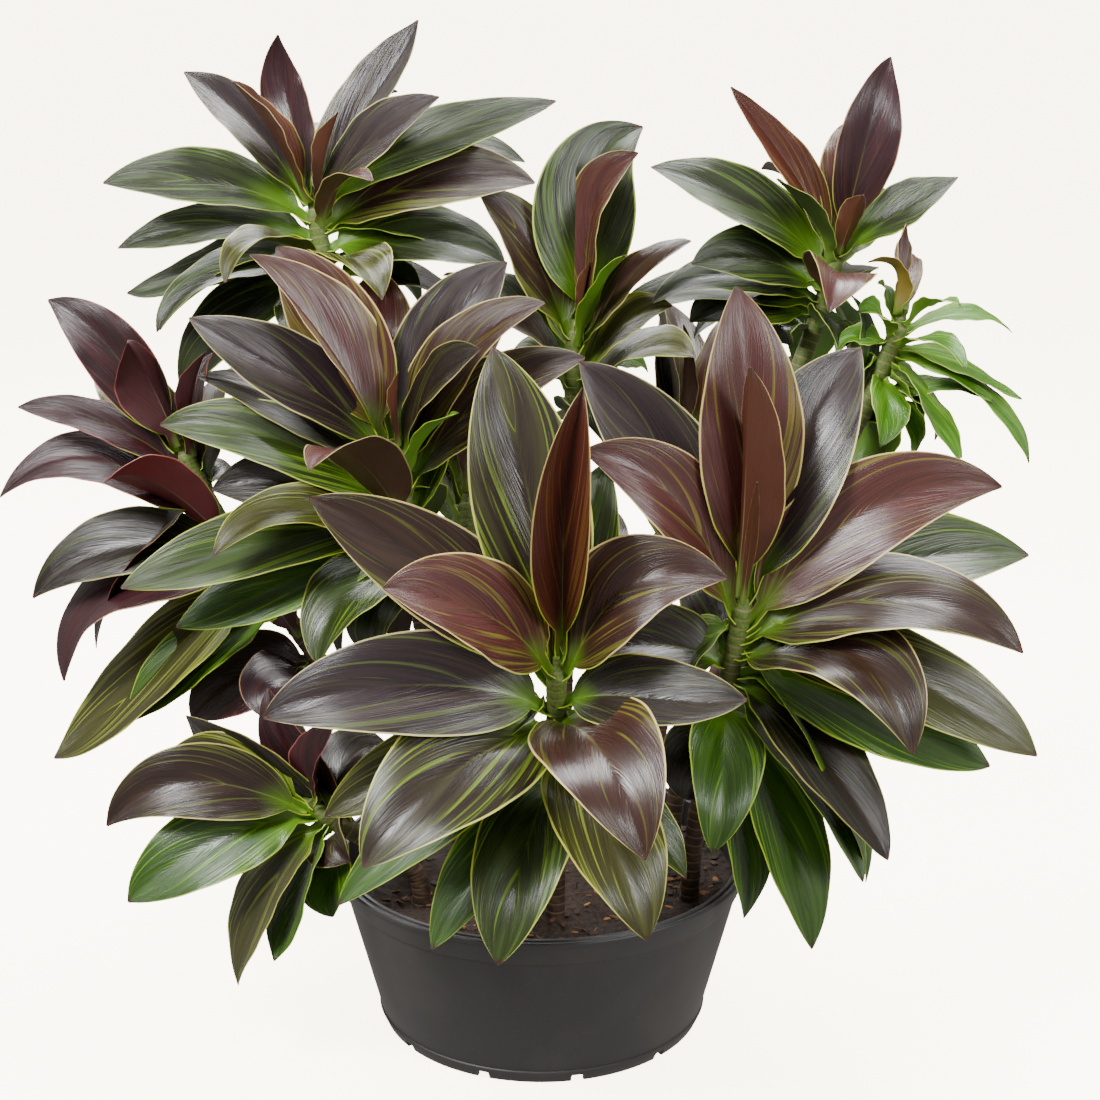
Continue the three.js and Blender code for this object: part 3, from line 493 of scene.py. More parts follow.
def sight_point(across, down, y):
    """The place at a depth y that the photograph shows at a point of the picture."""
    right = (across - PICTURE_MIDDLE) / PICTURE_FOCUS
    fall = (down - PICTURE_MIDDLE) / PICTURE_FOCUS
    pitch = math.radians(EYE_PITCH)
    ahead = math.cos(pitch) - fall * math.sin(pitch)
    rise = -math.sin(pitch) - fall * math.cos(pitch)
    reach = (y - EYE[1]) / ahead
    return np.array((EYE[0] + right * reach, y, EYE[2] + rise * reach))


# Each shoot, in millimetres: its crown, the place where its cane leaves the soil, how far down the
# cane its leaves reach, and its leaves. A seen leaf has its tip in the picture and
# how much nearer the viewer than the crown that is, and its colouring; a hidden one has the bearing,
# rise and reach of its tip. Both have a width, an arch, a roll towards the viewer and a fold.
MM = 0.001
Shoot = namedtuple("Shoot", "crown root leafy leaves")
Seen = namedtuple("Seen", "tip nearer width arch roll fold look")
Hidden = namedtuple("Hidden", "bearing rise reach width arch roll fold")
SHOOTS = {
    "shoot_front": Shoot((10, -140, 320), (10, -70), 100, [
        Seen((537, 562), 5, 12, 2, 0, 50, "spear"),
        Seen((583, 388), 20, 56, 16, 20, 50, "rust"),
        Seen((493, 347), -45, 76, 14, 10, 12, "striped"),
        Seen((383, 588), 75, 72, 14, 45, 14, "pink"),
        Seen((727, 578), 20, 68, 44, 35, 16, "brown"),
        Seen((310, 498), -25, 66, 14, 50, 12, "bronze"),
        Seen((645, 860), 105, 80, 46, 0, 14, "brown"),
        Seen((747, 700), 60, 56, -6, 30, 18, "dark"),
        Seen((363, 868), 75, 84, 30, 15, 12, "striped"),
        Seen((263, 718), 25, 70, 28, 40, 12, "grey"),
        Seen((648, 941), 60, 72, 26, 0, 12, "olive"),
        Seen((498, 965), 62, 68, 24, 0, 14, "moss"),
        Seen((325, 817), 10, 54, 16, 25, 16, "olive"),
        Seen((432, 949), 35, 48, 12, 0, 18, "green"),
        Seen((338, 905), 25, 48, 10, 20, 18, "green"),
        Seen((686, 878), 12, 46, 16, 0, 18, "moss"),
        Hidden(72, 28, 140, 60, 24, 0, 14),
        Hidden(118, 22, 130, 58, 24, 0, 14),
    ]),
    "shoot_right": Shoot((137, -60, 340), (105, -45), 105, [
        Seen((757, 482), 38, 12, 2, 0, 50, "spear"),
        Seen((750, 367), 24, 54, 0, 0, 40, "rust"),
        Seen((736, 286), -25, 76, 12, 15, 12, "pink"),
        Seen((861, 348), -55, 76, 24, 20, 14, "grey"),
        Seen((579, 362), -55, 68, 16, 60, 14, "grey"),
        Seen((582, 451), 30, 62, 32, 55, 14, "pink"),
        Seen((1002, 487), -5, 68, 44, 50, 12, "pink"),
        Seen((1023, 653), 45, 76, 46, 35, 12, "bronze"),
        Seen((913, 754), 80, 78, 60, 20, 14, "bronze"),
        Seen((573, 662), -5, 58, 18, 40, 14, "dark"),
        Seen((1029, 555), -40, 80, 22, 40, 14, "moss"),
        Seen((888, 860), 55, 74, 12, 0, 12, "dark"),
        Seen((712, 853), 75, 54, 26, 0, 16, "green"),
        Seen((863, 882), 40, 78, 12, 0, 14, "green"),
        Seen((1037, 756), 15, 68, 20, 35, 12, "olive"),
        Seen((744, 918), 35, 54, 14, 0, 16, "green"),
        Seen((812, 949), 45, 74, 12, 0, 14, "green"),
        Seen((990, 766), -15, 78, 2, 35, 14, "green"),
        Seen((688, 800), 20, 54, 26, 0, 16, "dark"),
        Hidden(72, 48, 150, 62, 24, 0, 14),
    ]),
    "shoot_left": Shoot((-104, 20, 424), (-45, 5), 90, [
        Seen((398, 372), 8, 12, 2, 0, 50, "spear"),
        Seen((250, 255), 8, 72, 8, 45, 36, "pink"),
        Seen((276, 247), -35, 64, 14, 50, 12, "pink"),
        Seen((507, 262), -48, 60, 16, 50, 14, "grey"),
        Seen((309, 470), 105, 56, 36, 0, 16, "pink"),
        Seen((545, 303), 20, 64, 28, 45, 14, "brown"),
        Seen((458, 413), 60, 22, 10, 0, 20, "lime"),
        Seen((189, 318), 24, 60, 4, 45, 14, "grey"),
        Seen((480, 350), 45, 54, 18, 40, 16, "dark"),
        Seen((213, 556), 64, 52, 40, 35, 16, "olive"),
        Seen((160, 425), -20, 56, 22, 40, 14, "moss"),
        Seen((585, 358), 5, 56, 22, 40, 14, "bronze"),
        Seen((121, 588), 52, 58, 8, 45, 14, "moss"),
        Seen((176, 627), 25, 60, 2, 45, 14, "green"),
        Seen((318, 665), 70, 72, 26, 20, 12, "moss"),
        Seen((212, 490), -22, 58, 20, 50, 14, "dark"),
        Seen((380, 660), 35, 64, 24, 20, 14, "moss"),
        Hidden(100, 46, 140, 58, 22, 0, 14),
        Hidden(128, 30, 145, 58, 26, 0, 14),
        Hidden(50, 15, 130, 56, 24, 0, 14),
    ]),
    "shoot_top_left": Shoot((-166, 130, 578), (-70, 70), 60, [
        Seen((338, 112), 14, 20, 3, 0, 45, "spear"),
        Seen((278, 35), -35, 46, -30, 45, 16, "plum"),
        Seen((418, 20), -32, 50, -4, 55, 28, "grey"),
        Seen((233, 81), 30, 54, 3, 50, 24, "rust"),
        Seen((439, 97), 42, 54, 6, 50, 14, "grey"),
        Seen((184, 72), -18, 42, 9, 45, 14, "grey"),
        Seen((373, 181), 70, 28, 20, 0, 20, "pink"),
        Seen((103, 183), 10, 54, 14, 40, 14, "deep"),
        Seen((225, 283), 70, 46, 34, 15, 18, "olive"),
        Seen((535, 183), 15, 58, 20, 50, 14, "bronze"),
        Seen((382, 300), 85, 56, 28, 0, 16, "olive"),
        Seen((556, 101), -15, 46, 8, 45, 14, "deep"),
        Seen((118, 248), -10, 42, 11, 40, 14, "deep"),
        Seen((505, 264), 25, 64, 16, 45, 14, "deep"),
        Seen((525, 162), -78, 58, 34, 30, 14, "deep"),
        Seen((127, 293), -22, 42, -5, 40, 14, "deep"),
        Seen((157, 332), 32, 62, 26, 30, 16, "deep"),
        Seen((290, 335), 55, 38, 16, 0, 18, "deep"),
        Seen((182, 392), -10, 64, 20, 50, 14, "deep"),
        Seen((470, 325), -25, 60, 22, 20, 14, "dark"),
        Hidden(60, 30, 130, 48, 20, 0, 14),
        Hidden(98, 15, 135, 48, 22, 0, 14),
        Hidden(75, -12, 125, 46, 20, 0, 14),
    ]),
    "shoot_top_middle": Shoot((24, 110, 491), (15, 60), 65, [
        Seen((590, 262), 18, 12, 2, 0, 50, "spear"),
        Seen((638, 153), 14, 56, 30, 60, 20, "pink"),
        Seen((643, 127), -45, 76, 46, 62, 12, "deep"),
        Seen((478, 190), -5, 62, 12, 55, 14, "bronze"),
        Seen((625, 255), 60, 20, 8, 20, 20, "lime"),
        Seen((691, 241), 50, 58, 8, 45, 16, "bronze"),
        Seen((484, 322), 35, 54, 22, 40, 16, "bronze"),
        Seen((695, 357), 68, 60, 28, 40, 14, "olive"),
        Seen((602, 440), 70, 50, 26, 0, 16, "deep"),
        Seen((672, 306), 20, 48, 16, 40, 16, "olive"),
        Hidden(70, 52, 135, 56, 18, 0, 14),
        Hidden(118, 28, 140, 56, 22, 0, 14),
        Hidden(88, 8, 140, 54, 24, 0, 14),
        Hidden(140, 8, 130, 54, 24, 0, 14),
        Hidden(60, -15, 125, 50, 22, 0, 14),
    ]),
    "shoot_top_right": Shoot((215, 120, 544), (80, 75), 60, [
        Seen((863, 195), 26, 24, 3, 0, 45, "spear"),
        Seen((891, 57), -28, 48, 24, 25, 14, "plum"),
        Seen((731, 87), -35, 34, 2, 45, 34, "rust"),
        Seen((777, 179), 40, 42, 4, 20, 18, "deep"),
        Seen((958, 177), 30, 50, -3, 50, 14, "deep"),
        Seen((829, 312), 100, 56, 36, 0, 16, "pink"),
        Seen((651, 167), 5, 60, 10, 50, 14, "deep"),
        Seen((692, 264), 18, 54, 16, 40, 16, "deep"),
        Seen((653, 303), 25, 46, 26, 35, 14, "deep"),
        Seen((840, 350), 60, 42, 20, 0, 18, "deep"),
        Seen((690, 322), 0, 54, 18, 40, 14, "deep"),
        Seen((610, 322), 0, 50, 24, 40, 16, "deep"),
        Seen((792, 345), 10, 50, 20, 0, 16, "deep"),
        Hidden(78, 50, 105, 50, 16, 0, 14),
        Hidden(120, 24, 108, 50, 20, 0, 14),
        Hidden(60, 10, 125, 52, 22, 0, 14),
        Hidden(92, 2, 135, 50, 24, 0, 14),
        Hidden(75, -24, 112, 46, 20, 0, 14),
    ]),
    "shoot_far_right": Shoot((255, 60, 508), (95, 25), 60, [
        Seen((907, 222), -16, 20, -6, 0, 28, "pink"),
        Seen((868, 262), 10, 24, 22, 0, 26, "ochre"),
        Seen((960, 305), 40, 20, 10, 20, 18, "fresh"),
        Seen((878, 283), -32, 24, 8, 0, 20, "fresh"),
        Seen((1012, 332), -20, 20, 16, 20, 16, "fresh"),
        Seen((965, 369), 60, 28, 14, 20, 16, "fresh"),
        Seen((1022, 399), -10, 24, 0, 20, 16, "fresh"),
        Seen((858, 312), 20, 30, 10, 10, 20, "fresh"),
        Seen((1029, 463), 10, 38, 20, 20, 14, "fresh"),
        Seen((960, 462), 50, 46, 0, 0, 14, "fresh"),
        Seen((880, 447), 60, 34, 12, 0, 16, "fresh"),
        Seen((912, 455), 35, 34, 10, 0, 16, "fresh"),
        Seen((852, 468), -10, 50, 16, 10, 16, "green"),
        Seen((935, 440), -30, 40, 16, 20, 16, "green"),
        Hidden(85, 15, 105, 22, 14, 0, 18),
    ]),
    "shoot_far_left": Shoot((-259, 60, 414), (-105, 20), 200, [
        Seen((205, 352), 8, 24, 6, 0, 45, "maroon"),
        Seen((127, 343), 26, 50, 12, 40, 34, "maroon"),
        Seen((48, 300), -35, 48, 19, 50, 14, "maroon"),
        Seen((105, 482), 80, 48, 28, 10, 18, "red"),
        Seen((18, 407), -5, 35, 12, 45, 14, "maroon"),
        Seen((215, 545), 44, 36, 22, 0, 18, "maroon"),
        Seen((0, 497), 0, 54, 48, 45, 12, "maroon"),
        Seen((33, 598), 5, 56, 30, 45, 14, "dark"),
        Seen((268, 720), 66, 80, 30, 30, 12, "plum"),
        Seen((64, 681), 20, 68, 54, 40, 14, "plum"),
        Seen((192, 720), 8, 62, 14, 50, 12, "maroon"),
        Seen((54, 758), 20, 78, -6, 50, 12, "olive"),
        Seen((128, 722), 30, 56, 10, 45, 14, "green"),
        Hidden(75, 15, 120, 50, 20, 0, 14),
        Hidden(125, 10, 130, 52, 24, 0, 14),
    ]),
    "shoot_low_left": Shoot((-160, -60, 187), (-85, -45), 30, [
        Seen((333, 728), 10, 44, 6, 30, 30, "maroon"),
        Seen((157, 787), -32, 52, 36, 45, 14, "olive"),
        Seen((107, 826), 0, 54, 42, 45, 14, "bronze"),
        Seen((350, 862), 42, 50, 16, 0, 16, "bronze"),
        Seen((128, 902), 20, 64, 13, 45, 12, "green"),
        Seen((274, 961), 48, 68, -4, 0, 14, "green"),
        Seen((238, 985), 35, 66, 12, 20, 14, "olive"),
        Seen((333, 917), 30, 64, 8, 10, 16, "green"),
        Seen((385, 742), -40, 56, 16, 30, 16, "dark"),
        Hidden(105, 22, 82, 40, 16, 0, 16),
    ]),
    "shoot_back_left": Shoot((-60, 185, 345), (-40, 85), 80, [
        Hidden(85, 80, 90, 22, 4, 0, 45),
        Hidden(60, 62, 130, 54, 12, 0, 18),
        Hidden(138, 50, 140, 56, 18, 0, 14),
        Hidden(90, 34, 150, 58, 24, 0, 14),
        Hidden(165, 28, 130, 54, 24, 0, 14),
        Hidden(40, 18, 130, 54, 24, 0, 14),
        Hidden(112, 8, 150, 56, 28, 0, 14),
        Hidden(72, -12, 145, 56, 28, 0, 14),
        Hidden(145, -18, 135, 54, 26, 0, 14),
        Hidden(98, -34, 130, 52, 24, 0, 14),
    ]),
    "shoot_back_right": Shoot((110, 190, 380), (45, 90), 80, [
        Hidden(95, 80, 90, 22, 4, 0, 45),
        Hidden(120, 62, 130, 54, 12, 0, 18),
        Hidden(42, 50, 140, 56, 18, 0, 14),
        Hidden(95, 36, 150, 58, 24, 0, 14),
        Hidden(18, 28, 130, 54, 24, 0, 14),
        Hidden(138, 18, 130, 54, 24, 0, 14),
        Hidden(70, 8, 150, 56, 28, 0, 14),
        Hidden(108, -12, 145, 56, 28, 0, 14),
        Hidden(35, -18, 135, 54, 26, 0, 14),
        Hidden(82, -34, 130, 52, 24, 0, 14),
    ]),
}


def cane_points(shoot):
    """The four points of a cane's curve: upright out of the soil, and leaning out to its crown."""
    root = np.array((*shoot.root, SOIL_LEVEL / MM + CANE_START_MM)) * MM
    crown = np.array(shoot.crown) * MM
    reach = CANE_BEND_SHARE * np.linalg.norm(crown - root)
    rise = np.array((0, 0, reach))
    lean = unit(crown - root + rise)
    return root, root + rise, crown - lean * reach, crown


def curve_length(points):
    """Length of a curve, measured along a fine chain of chords."""
    chain = bezier(points, np.linspace(0, 1, 201))
    return np.linalg.norm(np.diff(chain, axis=0), axis=1).sum()


bpy.ops.mesh.primitive_cylinder_add(vertices=CANE_SIDES, radius=1, depth=1, location=(0, 0, 0.5))
cane_shape = bpy.context.object
bpy.ops.object.transform_apply(location=True)
bpy.ops.object.mode_set(mode="EDIT")
bpy.ops.mesh.select_mode(type="EDGE")
bpy.ops.mesh.select_all(action="DESELECT")
bpy.ops.object.mode_set(mode="OBJECT")
for cuts in CANE_CUTS:
    for edge in cane_shape.data.edges:
        first, second = (cane_shape.data.vertices[end].co for end in edge.vertices)
        edge.select = abs(first.z - second.z) > 0.001
    bpy.ops.object.mode_set(mode="EDIT")
    bpy.ops.mesh.subdivide(number_cuts=cuts)
    bpy.ops.mesh.select_all(action="DESELECT")
    bpy.ops.object.mode_set(mode="OBJECT")


def woody_cane():
    finish = Finish("ringed_cane_bark")
    place = finish.node("ShaderNodeTexCoord", {}, {}, output=3)
    run = finish.node("ShaderNodeAttribute", {"attribute_name": "run"}, {}, output=2)
    young = finish.node("ShaderNodeAttribute", {"attribute_name": "young"}, {}, output=2)
    patches = finish.cloud(place, 90.0, 4.0)
    grain = finish.cloud(place, 700.0, 3.0)
    ring = finish.node("ShaderNodeMath", {"operation": "FRACT"}, {0: run * (1 / SCAR_SPACING)})
    scar = finish.step(ring, 0.72, 0.9)
    bark = finish.mix(finish.step(patches, 0.35, 0.7), paint("33231b"), paint("5a4433"))
    shoot_skin = finish.mix(finish.step(grain, 0.3, 0.7), paint("42521c"), paint("5c7426"))
    colour = finish.mix(young, bark, shoot_skin)
    colour = finish.mix(scar * 0.55, colour, paint("8a7458"))
    height = grain * 0.5 + patches * 0.5
    relief = finish.node("ShaderNodeBump", {}, {"Strength": 0.4, "Distance": 0.0006, "Height": height})
    return finish.surface(Base_Color=colour, Roughness=0.55 + grain * 0.2, Normal=relief)


cane_finish = woody_cane()
flat_cane = np.empty(len(cane_shape.data.vertices) * 3)
cane_shape.data.vertices.foreach_get("co", flat_cane)
flat_cane = flat_cane.reshape(-1, 3)
for name, shoot in SHOOTS.items():
    curve = cane_points(shoot)
    length = curve_length(curve)
    foot = np.array((*shoot.root, 0)) * MM + np.array((0, 0, SOIL_LEVEL - CANE_FOOT_DEPTH))
    buried = curve[0][2] - foot[2]
    run = flat_cane[:, 2] * (length + buried)
    place = np.clip((run - buried) / length, 0, 1)
    middle = bezier(curve, place)
    middle[:, 2] += np.minimum(run - buried, 0)
    along = bezier_heading(curve, place)
    first = unit(np.array((1.0, 0, 0)) - along * along[:, :1])
    second = np.cross(along, first)
    ring = run / SCAR_SPACING + 0.25 * flat_cane[:, 0]
    swell = 1 + SCAR_SWELL * np.maximum(0, np.sin(ring * math.tau)) ** 3
    tip_taper = np.clip((length + buried - run) / CANE_TAPER, 0.35, 1)
    radius = CANE_RADIUS * swell * tip_taper
    points = middle + (first * flat_cane[:, :1] + second * flat_cane[:, 1:2]) * radius[:, None]
    cane = cane_shape.copy()
    cane.data = cane_shape.data.copy()
    cane.name = name + "_cane"
    bpy.context.collection.objects.link(cane)
    cane.data.vertices.foreach_set("co", points.ravel())
    young = np.clip((place - GREEN_FROM) / GREEN_RUN, 0, 1)
    for label, values in (("run", run), ("young", young)):
        cane.data.attributes.new(label, "FLOAT", "POINT").data.foreach_set("value", values)
    cane.data.update()
    settle(cane, name, cane_finish)
bpy.data.objects.remove(cane_shape)

# Leaves: each head is a rosette of broad, pointed blades with a channelled green stalk that clasps
# the cane. A blade is thin and a little folded, wavy at its pale margins, with fine veins that leave
# its midrib at a slant. The young ones stand up pink and rust, the old ones hang dark green.
BLADE_THICKNESS = 0.0006
STALK_THICKNESS = 0.0018
BLADE_CELLS_ACROSS = 14
BLADE_CELLS_ALONG = 44
PETIOLE_SHARE = 0.1
PETIOLE_HALF_WIDTH = 0.0055
PETIOLE_WIDTH_SHARE = 0.22
PETIOLE_FOLD = 52
FOLD_SHARE = 0.3
CLASP_HALF_WIDTH = 0.0065
CLASP_FOLD = 78
CLASP_SHARE = 0.07
CLASP_FOLD_SHARE = 0.112
FULL_CLASP_WIDTH = 0.04
TIP_HALF_WIDTH = 0.0008
WIDEST_PLACE = 0.44
FULLNESS = 0.78
WAVE = 0.0022
WAVE_RATE = 9
WAVE_OFFSET = 1.7
RIPPLE = 0.0005
RIPPLE_RATE = 34
MIDRIB_ROUNDING = 0.16
BULGE = 0.045
BULGE_RUN = 4
MARGIN_THINNING = 0.5
TWIST = 14
TWIST_STEP = 2.4
RISE_PLACE = 0.12
ARCH_PLACE = 0.7
ARCH_PULL = 1.35
FIRST_LEAF_DROP = 0.004
CROWDING = 1.5
YOUNG_RISE = 0.24
OLD_RISE = 0.1

# Colouring: the ground of the blade, its streaks and how much of it they take, its margin, its
# underside, and how far the green of the stalk runs up it.
LOOKS = {
    "spear": ("44241a", "74561c", 0.5, "b49a50", "4a240e", 0.12),
    "rust": ("461e14", "705020", 0.6, "c0a460", "44200c", 0.16),
    "pink": ("4c2624", "726c24", 0.8, "ceb474", "4a2e20", 0.3),
    "brown": ("341d18", "66661e", 0.8, "c6ae6c", "402818", 0.3),
    "bronze": ("2c1b17", "5c661e", 0.85, "c0ae6a", "3e2c1a", 0.35),
    "grey": ("2c2124", "52602a", 0.7, "c0b276", "3e3226", 0.35),
    "dark": ("1e1612", "425018", 0.7, "a89c50", "302414", 0.35),
    "striped": ("281f16", "70881e", 0.9, "c4c45e", "464a1a", 0.45),
    "plum": ("321820", "54302a", 0.5, "b69068", "44201c", 0.2),
    "olive": ("363610", "86922a", 0.95, "bcba4a", "545a20", 0.5),
    "moss": ("2a380f", "6c8c22", 0.95, "b2bc48", "466222", 0.5),
    "deep": ("1e260e", "4e6a1c", 0.85, "aab650", "384c1a", 0.6),
    "green": ("30520e", "6c9a1c", 0.95, "a8c036", "4c701a", 0.6),
    "lime": ("4c860e", "78b01c", 0.7, "a6c83a", "60901e", 0.9),
    "fresh": ("467c14", "90b838", 0.85, "d0e274", "70962e", 0.7),
    "maroon": ("260a10", "4c181c", 0.5, "94504a", "401216", 0.05),
    "red": ("500d14", "6c2422", 0.5, "ac5e54", "521216", 0.05),
    "ochre": ("604818", "868026", 0.7, "c0ae5e", "6c5c1e", 0.4),
}
HIDDEN_LOOKS = ("pink", "bronze", "olive", "moss", "green", "green")

# Inner leaves, in the terms of seen ones: shorter ones that fill the shade between the heads. The
# first one's drop from the crown and the spacing of the others down the cane are in millimetres.
INNER_FIRST_DROP = 28
INNER_SPACING = 9
INNER = {
    "shoot_front": [
        Seen((606, 462), -60, 54, 14, 10, 14, "moss"),
        Seen((512, 765), -30, 50, 20, 0, 14, "dark"),
        Seen((604, 775), -30, 50, 20, 0, 14, "green"),
    ],
    "shoot_right": [
        Seen((664, 712), -15, 50, 20, 20, 14, "moss"),
        Seen((728, 812), -30, 50, 20, 0, 14, "green"),
        Seen((866, 882), 20, 56, 24, 0, 14, "green"),
        Seen((690, 560), -70, 50, 14, 20, 14, "dark"),
    ],
    "shoot_left": [
        Seen((196, 376), -50, 46, 16, 20, 14, "dark"),
        Seen((428, 524), -30, 46, 16, 10, 14, "moss"),
        Seen((404, 650), -50, 48, 18, 0, 14, "dark"),
        Seen((342, 660), -40, 48, 18, 0, 14, "dark"),
        Seen((458, 372), -70, 46, 16, 10, 14, "moss"),
    ],
    "shoot_top_left": [
        Seen((496, 272), -10, 48, 16, 20, 14, "green"),
        Seen((160, 330), -10, 46, 16, 20, 14, "moss"),
        Seen((420, 305), -20, 46, 18, 0, 14, "moss"),
    ],
    "shoot_top_middle": [
        Seen((604, 444), -20, 46, 18, 0, 14, "moss"),
        Seen((648, 372), -20, 46, 16, 20, 14, "green"),
        Seen((512, 352), -20, 46, 16, 20, 14, "moss"),
    ],
    "shoot_top_right": [
        Seen((694, 338), -10, 42, 16, 20, 14, "moss"),
        Seen((846, 366), -20, 44, 18, 0, 14, "green"),
        Seen((800, 372), -20, 44, 18, 0, 14, "green"),
    ],
    "shoot_far_right": [
        Seen((836, 352), 0, 24, 14, 20, 14, "fresh"),
        Seen((850, 420), 6, 24, 14, 0, 14, "fresh"),
        Seen((918, 446), 16, 26, 14, 0, 14, "fresh"),
        Seen((962, 458), 14, 26, 14, 10, 14, "fresh"),
        Seen((994, 402), 6, 22, 14, 20, 14, "fresh"),
        Seen((852, 296), -10, 24, 14, 20, 14, "green"),
        Seen((884, 440), -10, 26, 14, 0, 14, "green"),
    ],
    "shoot_far_left": [
        Seen((214, 352), -30, 46, 14, 20, 14, "maroon"),
        Seen((242, 486), -20, 46, 16, 20, 14, "maroon"),
        Seen((96, 648), 0, 52, 18, 20, 14, "maroon"),
    ],
    "shoot_low_left": [
        Seen((186, 716), -40, 50, 18, 20, 14, "dark"),
        Seen((268, 688), -40, 48, 16, 10, 14, "maroon"),
    ],
}


def seated(leaf, curve, place):
    """A leaf with the place on its cane that it grows from."""
    axis = bezier_heading(curve, place)
    middle = bezier(curve, place)
    outward = leaf["tip"] - middle
    outward = unit(outward - axis * (outward @ axis))
    leaf.update(base=middle + outward * (SHEATH_RADIUS - BASE_SINK), axis=axis)
    return leaf


def inner_leaves_of(shoot, rows):
    """The inner leaves of a shoot, one under another on its cane."""
    curve = cane_points(shoot)
    length = curve_length(curve)
    leaves = []
    for index, row in enumerate(rows):
        tip = sight_point(*row.tip, curve[3][1] - row.nearer * MM)
        leaf = {"tip": tip, "width": row.width * MM, "arch": row.arch * MM, "roll": row.roll,
                "fold": row.fold, "look": row.look, "age": 1, "index": len(shoot.leaves) + index}
        drop = INNER_FIRST_DROP + INNER_SPACING * index
        leaves.append(seated(leaf, curve, 1 - drop * MM / length))
    return leaves


def leaves_of(shoot):
    """Where each leaf of a shoot leaves the cane, where its tip is, and how its blade lies.
    The upright leaves are the youngest and stand closest to the crown, the hanging ones the oldest."""
    curve = cane_points(shoot)
    length = curve_length(curve)
    crown = curve[3]
    top = bezier_heading(curve, 1.0)
    leaves = []
    for row in shoot.leaves:
        if isinstance(row, Seen):
            tip = sight_point(*row.tip, crown[1] - row.nearer * MM)
        else:
            bearing, rise = math.radians(row.bearing), math.radians(row.rise)
            level = math.cos(rise)
            heading = np.array((math.cos(bearing) * level, math.sin(bearing) * level, math.sin(rise)))
            tip = crown + heading * row.reach * MM
        leaves.append({"tip": tip, "width": row.width * MM, "arch": row.arch * MM, "roll": row.roll,
                       "fold": row.fold, "look": getattr(row, "look", None)})
    slopes = [math.acos(np.clip(unit(leaf["tip"] - crown) @ top, -1, 1)) for leaf in leaves]
    order = sorted(range(len(leaves)), key=lambda leaf: slopes[leaf])
    for index, leaf in enumerate(leaves):
        age = order.index(index) / (len(leaves) - 1)
        place = 1 - (FIRST_LEAF_DROP + shoot.leafy * MM * age ** CROWDING) / length
        seated(leaf, curve, place).update(age=age, index=index)
        if leaf["look"] is None:
            leaf["look"] = HIDDEN_LOOKS[int(age * (len(HIDDEN_LOOKS) - 1))]
    return leaves


def half_width(t, width):
    """Half a blade's width along it: a clasping stalk, then a lance shape with a drawn-out tip."""
    s = np.clip((t - PETIOLE_SHARE) / (1 - PETIOLE_SHARE), 0, 1)
    rise = (s / WIDEST_PLACE) ** (WIDEST_PLACE * 2)
    fall = ((1 - s) / (1 - WIDEST_PLACE)) ** ((1 - WIDEST_PLACE) * 2)
    stalk = min(PETIOLE_HALF_WIDTH, width * PETIOLE_WIDTH_SHARE) * (1 - s)
    clasp = np.clip(1 - t / CLASP_SHARE, 0, 1) ** 2 * (CLASP_HALF_WIDTH - PETIOLE_HALF_WIDTH)
    blade = width / 2 * (rise * fall) ** FULLNESS
    stalk = stalk + clasp * min(1, width / FULL_CLASP_WIDTH)
    return np.maximum(np.maximum(blade, stalk), TIP_HALF_WIDTH)


def turned_about(vectors, axis, angles):
    """Vectors turned about an axis, each by its own angle."""
    cosine, sine = np.cos(angles)[:, None], np.sin(angles)[:, None]
    along = (vectors @ axis)[:, None] * axis
    return vectors * cosine + np.cross(axis, vectors) * sine + along * (1 - cosine)


